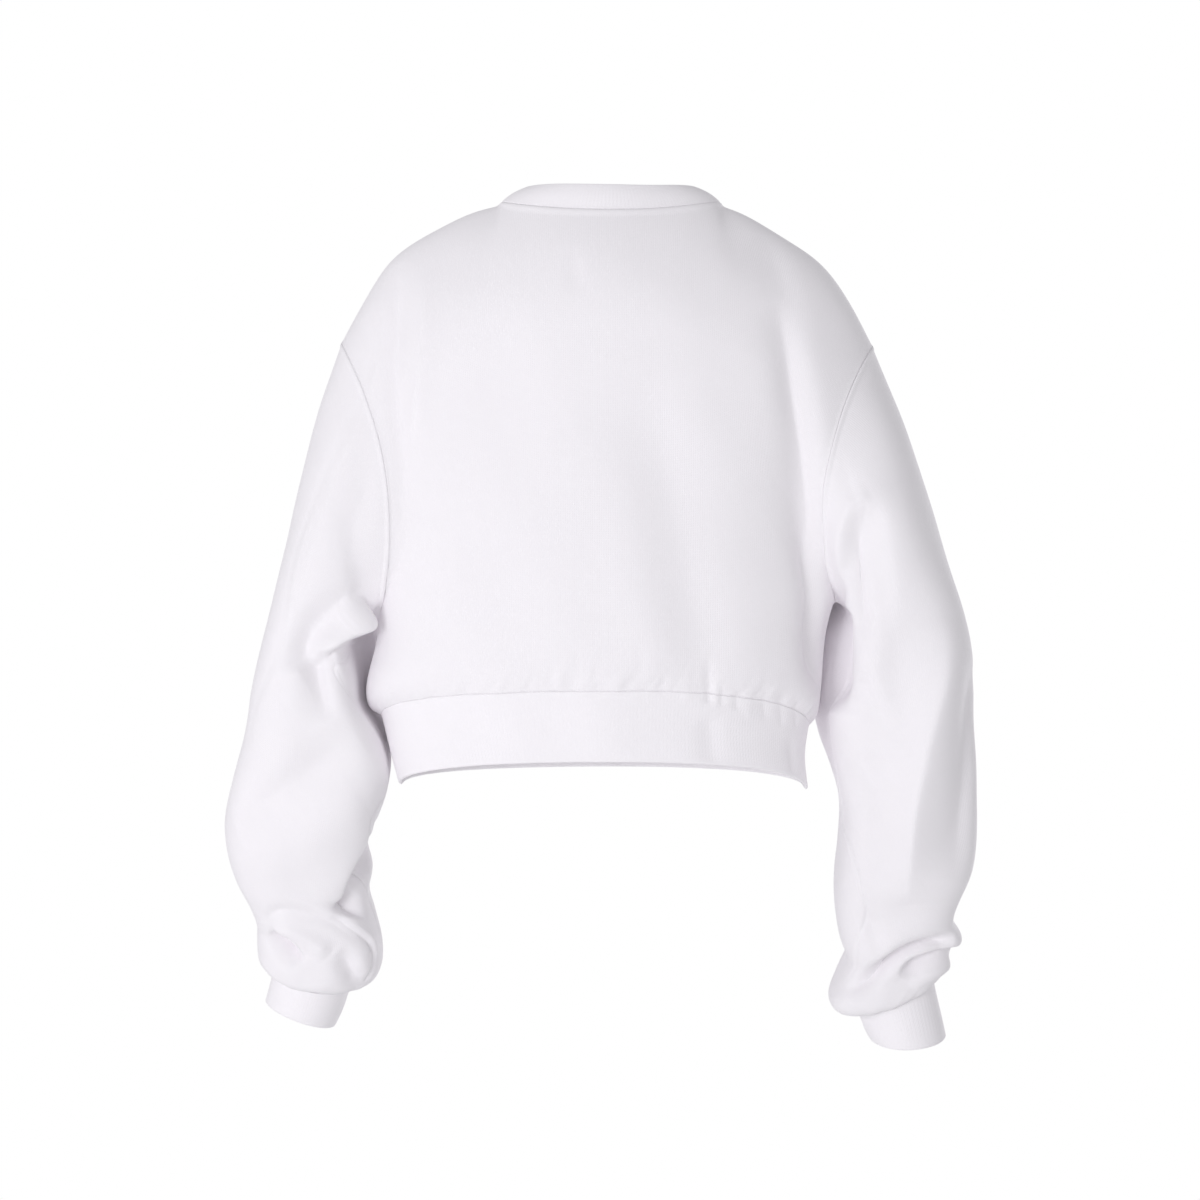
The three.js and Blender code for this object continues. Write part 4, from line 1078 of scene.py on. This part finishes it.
class SWEATSHIRT_OT_sleeves(bpy.types.Operator):
    """Adds both sleeves, cut in cotton fleece and gathered into their cuffs"""

    bl_idname = "sweatshirt.sleeves"
    bl_label = "Sleeves"

    def execute(self, context):
        cloth = context.scene.sweatshirt_cloth
        for seed, name in enumerate(("sleeve_left", "sleeve_right")):
            middle, normals = worn_form()[name]
            down = lengths(middle, 0)
            up = down[-1:] - down
            around = lengths(beside(middle, True), 1)[:, :-1]
            # The underarm seam starts on the column below the arm and wanders towards the back.
            table = np.array(UNDERARM_SEAM[name], float)
            share = np.linspace(0, 1, len(middle))
            back = along(table, np.interp(share, table[:, 0], np.arange(len(table))))[:, 1]
            under = around - (around[:, ROWS["over_arm"] + ROWS["under_arm"]] - back)[:, None]
            # It is a groove with a low welt at its side, and both fade out above the cuff.
            welt = 0.3 * np.exp(-(((under - 3.2) / 2.4) ** 2))
            groove = 0.9 * np.exp(-((under / 1.3) ** 2))
            inner = half_wall(edge_distance(middle, True), cloth.fleece_wall * 1000, *SEAM_EDGE)
            outer = inner + roll(down, *SLEEVE_ARM_ROLL)
            outer += (welt - groove) * smoothstep(up, 45, 75)
            outer += puckers(around, up, cloth.gathers * 1000, 5 + seed)
            mesh = wall_mesh(name, middle, normals, outer, inner, pattern_of(middle, True))
            piece = place_piece(name + "_tube", name, mesh, fleece())
        return {"FINISHED"}


def ribbed(name, node, times):
    """Adds a ribbed band: ribs are cosines round it, as many as fit its free edge."""
    cloth = bpy.context.scene.sweatshirt_cloth
    wall = cloth.rib_wall * 1000
    middle, normals = (finer(g, times) for g in worn_form()[node])
    down = lengths(middle, 0)
    total = lengths(beside(middle, True), 1)[-1, -1]
    count = round(total / (cloth.rib_pitch * 1000))
    phase = np.arange(middle.shape[1]) / middle.shape[1] * count
    rib = cloth.rib_height * 1000 * np.cos(2 * np.pi * phase)[None]
    inner = np.minimum(half_wall(down, wall, *RIB_SEAM_EDGE), half_wall(down[-1:] - down, wall, *FOLDED_EDGE))
    outer = inner + rib * smoothstep(edge_distance(middle, True), 0.4, 2.0)
    mesh = wall_mesh(node, middle, unit(normals), outer, inner, pattern_of(middle, True))
    return place_piece(name, node, mesh, rib_knit())


class SWEATSHIRT_OT_waistband(bpy.types.Operator):
    """Adds the ribbed waistband, folded double at its hem"""

    bl_idname = "sweatshirt.waistband"
    bl_label = "Waistband"

    def execute(self, context):
        piece = ribbed("waistband_rib", "waistband", 2)
        return {"FINISHED"}


class SWEATSHIRT_OT_neck_rib(bpy.types.Operator):
    """Adds the ribbed neckband, folded double at its free edge"""

    bl_idname = "sweatshirt.neck_rib"
    bl_label = "Neck rib"

    def execute(self, context):
        piece = ribbed("neck_rib", "collar", 3)
        return {"FINISHED"}


class SWEATSHIRT_OT_cuffs(bpy.types.Operator):
    """Adds both ribbed cuffs, folded double at their free edges"""

    bl_idname = "sweatshirt.cuffs"
    bl_label = "Cuffs"

    def execute(self, context):
        for name in ("cuff_left", "cuff_right"):
            piece = ribbed(name + "_rib", name, 2)
        return {"FINISHED"}


# The soft lights: name, place, and the setting that holds the power.
LAMPS = [("key", (1.6, 3.2, -0.4), "key_power"), ("front", (-1.9, -3.0, 0.1), "front_power")]
LAMP_SIZE, LAMP_COLOUR, LAMP_AIM = 1.3, "#FCFBFF", (0, 0, -0.33)
# The camera looks straight ahead from behind the wearer; VIEW is how much it takes in across at the garment.
CAMERA, VIEW, SENSOR = (0.00902, 3.2, -0.3239), 0.984, 36
FLOOR_SIDES = 96
SKY_WAY = (0.16, 0.1, -0.18)  # how much the surround's light grows towards each axis
BOUNCES = 12


class SWEATSHIRT_OT_stage(bpy.types.Operator):
    """Adds the pale floor, the soft studio light and the camera behind the wearer"""

    bl_idname = "sweatshirt.stage"
    bl_label = "Stage"

    def execute(self, context):
        scene = context.scene
        studio = scene.sweatshirt_studio
        turn = np.linspace(0, 2 * np.pi, FLOOR_SIDES, endpoint=False)
        rim = np.stack([np.cos(turn), np.sin(turn)], -1) * studio.floor_radius
        points = np.column_stack([rim, np.full(FLOOR_SIDES, -studio.floor_depth)])
        mesh = bpy.data.meshes.new("floor")
        mesh.from_pydata(points.tolist(), [], [list(range(FLOOR_SIDES))])
        floor = stand("floor", mesh)
        paint = bpy.data.materials.new("matt_white_floor")
        paint.use_nodes = True
        surface = paint.node_tree.nodes["Principled BSDF"]
        surface.inputs["Base Color"].default_value = (*linear("#FAFAFA"), 1)
        surface.inputs["Roughness"].default_value = 0.85
        mesh.materials.append(paint)

        world = bpy.data.worlds.new("white_surround")
        scene.world = world
        world.use_nodes = True
        tree = world.node_tree
        tree.nodes.clear()
        seen = add(tree, "ShaderNodeLightPath").outputs["Is Camera Ray"]
        way = add(tree, "ShaderNodeTexCoord").outputs["Generated"]
        tilt = add(tree, "ShaderNodeVectorMath", {0: way, 1: SKY_WAY}, operation="DOT_PRODUCT")
        strength = sums(tree, "MULTIPLY", sums(tree, "ADD", tilt.outputs["Value"], 1.0), studio.sky)
        lit = add(tree, "ShaderNodeBackground", {"Color": (0.98, 0.97, 1, 1), "Strength": strength})
        plain = add(tree, "ShaderNodeBackground", {"Color": (1, 1, 1, 1), "Strength": 1.0})
        both = add(tree, "ShaderNodeMixShader", {0: seen, 1: lit.outputs[0], 2: plain.outputs[0]})
        add(tree, "ShaderNodeOutputWorld", {"Surface": both.outputs[0]})

        for name, place, setting in LAMPS:
            lamp = bpy.data.lights.new(name, "AREA")
            lamp.shape, lamp.size, lamp.energy = "DISK", LAMP_SIZE, getattr(studio, setting)
            lamp.color = linear(LAMP_COLOUR)
            light = stand(name, lamp)
            light.location = place
            light.rotation_euler = look_along(np.array(LAMP_AIM) - np.array(place))

        camera = stand("camera", bpy.data.cameras.new("camera"))
        camera.location = CAMERA
        camera.rotation_euler = (math.pi / 2, 0, math.pi)
        camera.data.sensor_width = SENSOR
        camera.data.lens = SENSOR * CAMERA[1] / VIEW
        camera.data.clip_end = 50
        scene.camera = camera
        scene.view_settings.view_transform = "Standard"
        # White cloth lights its own hollows: light needs more than the usual four turns between them.
        scene.cycles.diffuse_bounces = BOUNCES
        return {"FINISHED"}


def look_along(way):
    """The turns that point a light's own -Z along a direction."""
    flat = math.hypot(way[0], way[1])
    return (math.atan2(flat, -way[2]), 0, math.atan2(way[1], way[0]) - math.pi / 2)


OPERATORS = [
    SWEATSHIRT_OT_stage,
    SWEATSHIRT_OT_body,
    SWEATSHIRT_OT_sleeves,
    SWEATSHIRT_OT_waistband,
    SWEATSHIRT_OT_neck_rib,
    SWEATSHIRT_OT_cuffs,
]


class SWEATSHIRT_PT_panel(bpy.types.Panel):
    """Lists the sweatshirt's pieces and settings"""

    bl_idname = "SWEATSHIRT_PT_panel"
    bl_label = "Sweatshirt"
    bl_space_type = "VIEW_3D"
    bl_region_type = "UI"
    bl_category = "Sweatshirt"

    def draw(self, context):
        for group in (context.scene.sweatshirt_cloth, context.scene.sweatshirt_studio):
            for name in group.__annotations__:
                self.layout.prop(group, name)
        for operator in OPERATORS:
            self.layout.operator(operator.bl_idname)


CLASSES = [SweatshirtCloth, SweatshirtStudio, *OPERATORS, SWEATSHIRT_PT_panel]


def register():
    """Registers the classes and gives every scene its settings."""
    for each in CLASSES:
        bpy.utils.register_class(each)
    bpy.types.Scene.sweatshirt_cloth = PointerProperty(type=SweatshirtCloth)
    bpy.types.Scene.sweatshirt_studio = PointerProperty(type=SweatshirtStudio)


def unregister():
    """Undoes register, in the opposite order."""
    del bpy.types.Scene.sweatshirt_studio
    del bpy.types.Scene.sweatshirt_cloth
    for each in reversed(CLASSES):
        bpy.utils.unregister_class(each)


def main():
    """Builds the stage and every piece."""
    register()
    for operator in OPERATORS:
        group, name = operator.bl_idname.split(".")
        getattr(getattr(bpy.ops, group), name)()


if __name__ == "__main__":
    main()
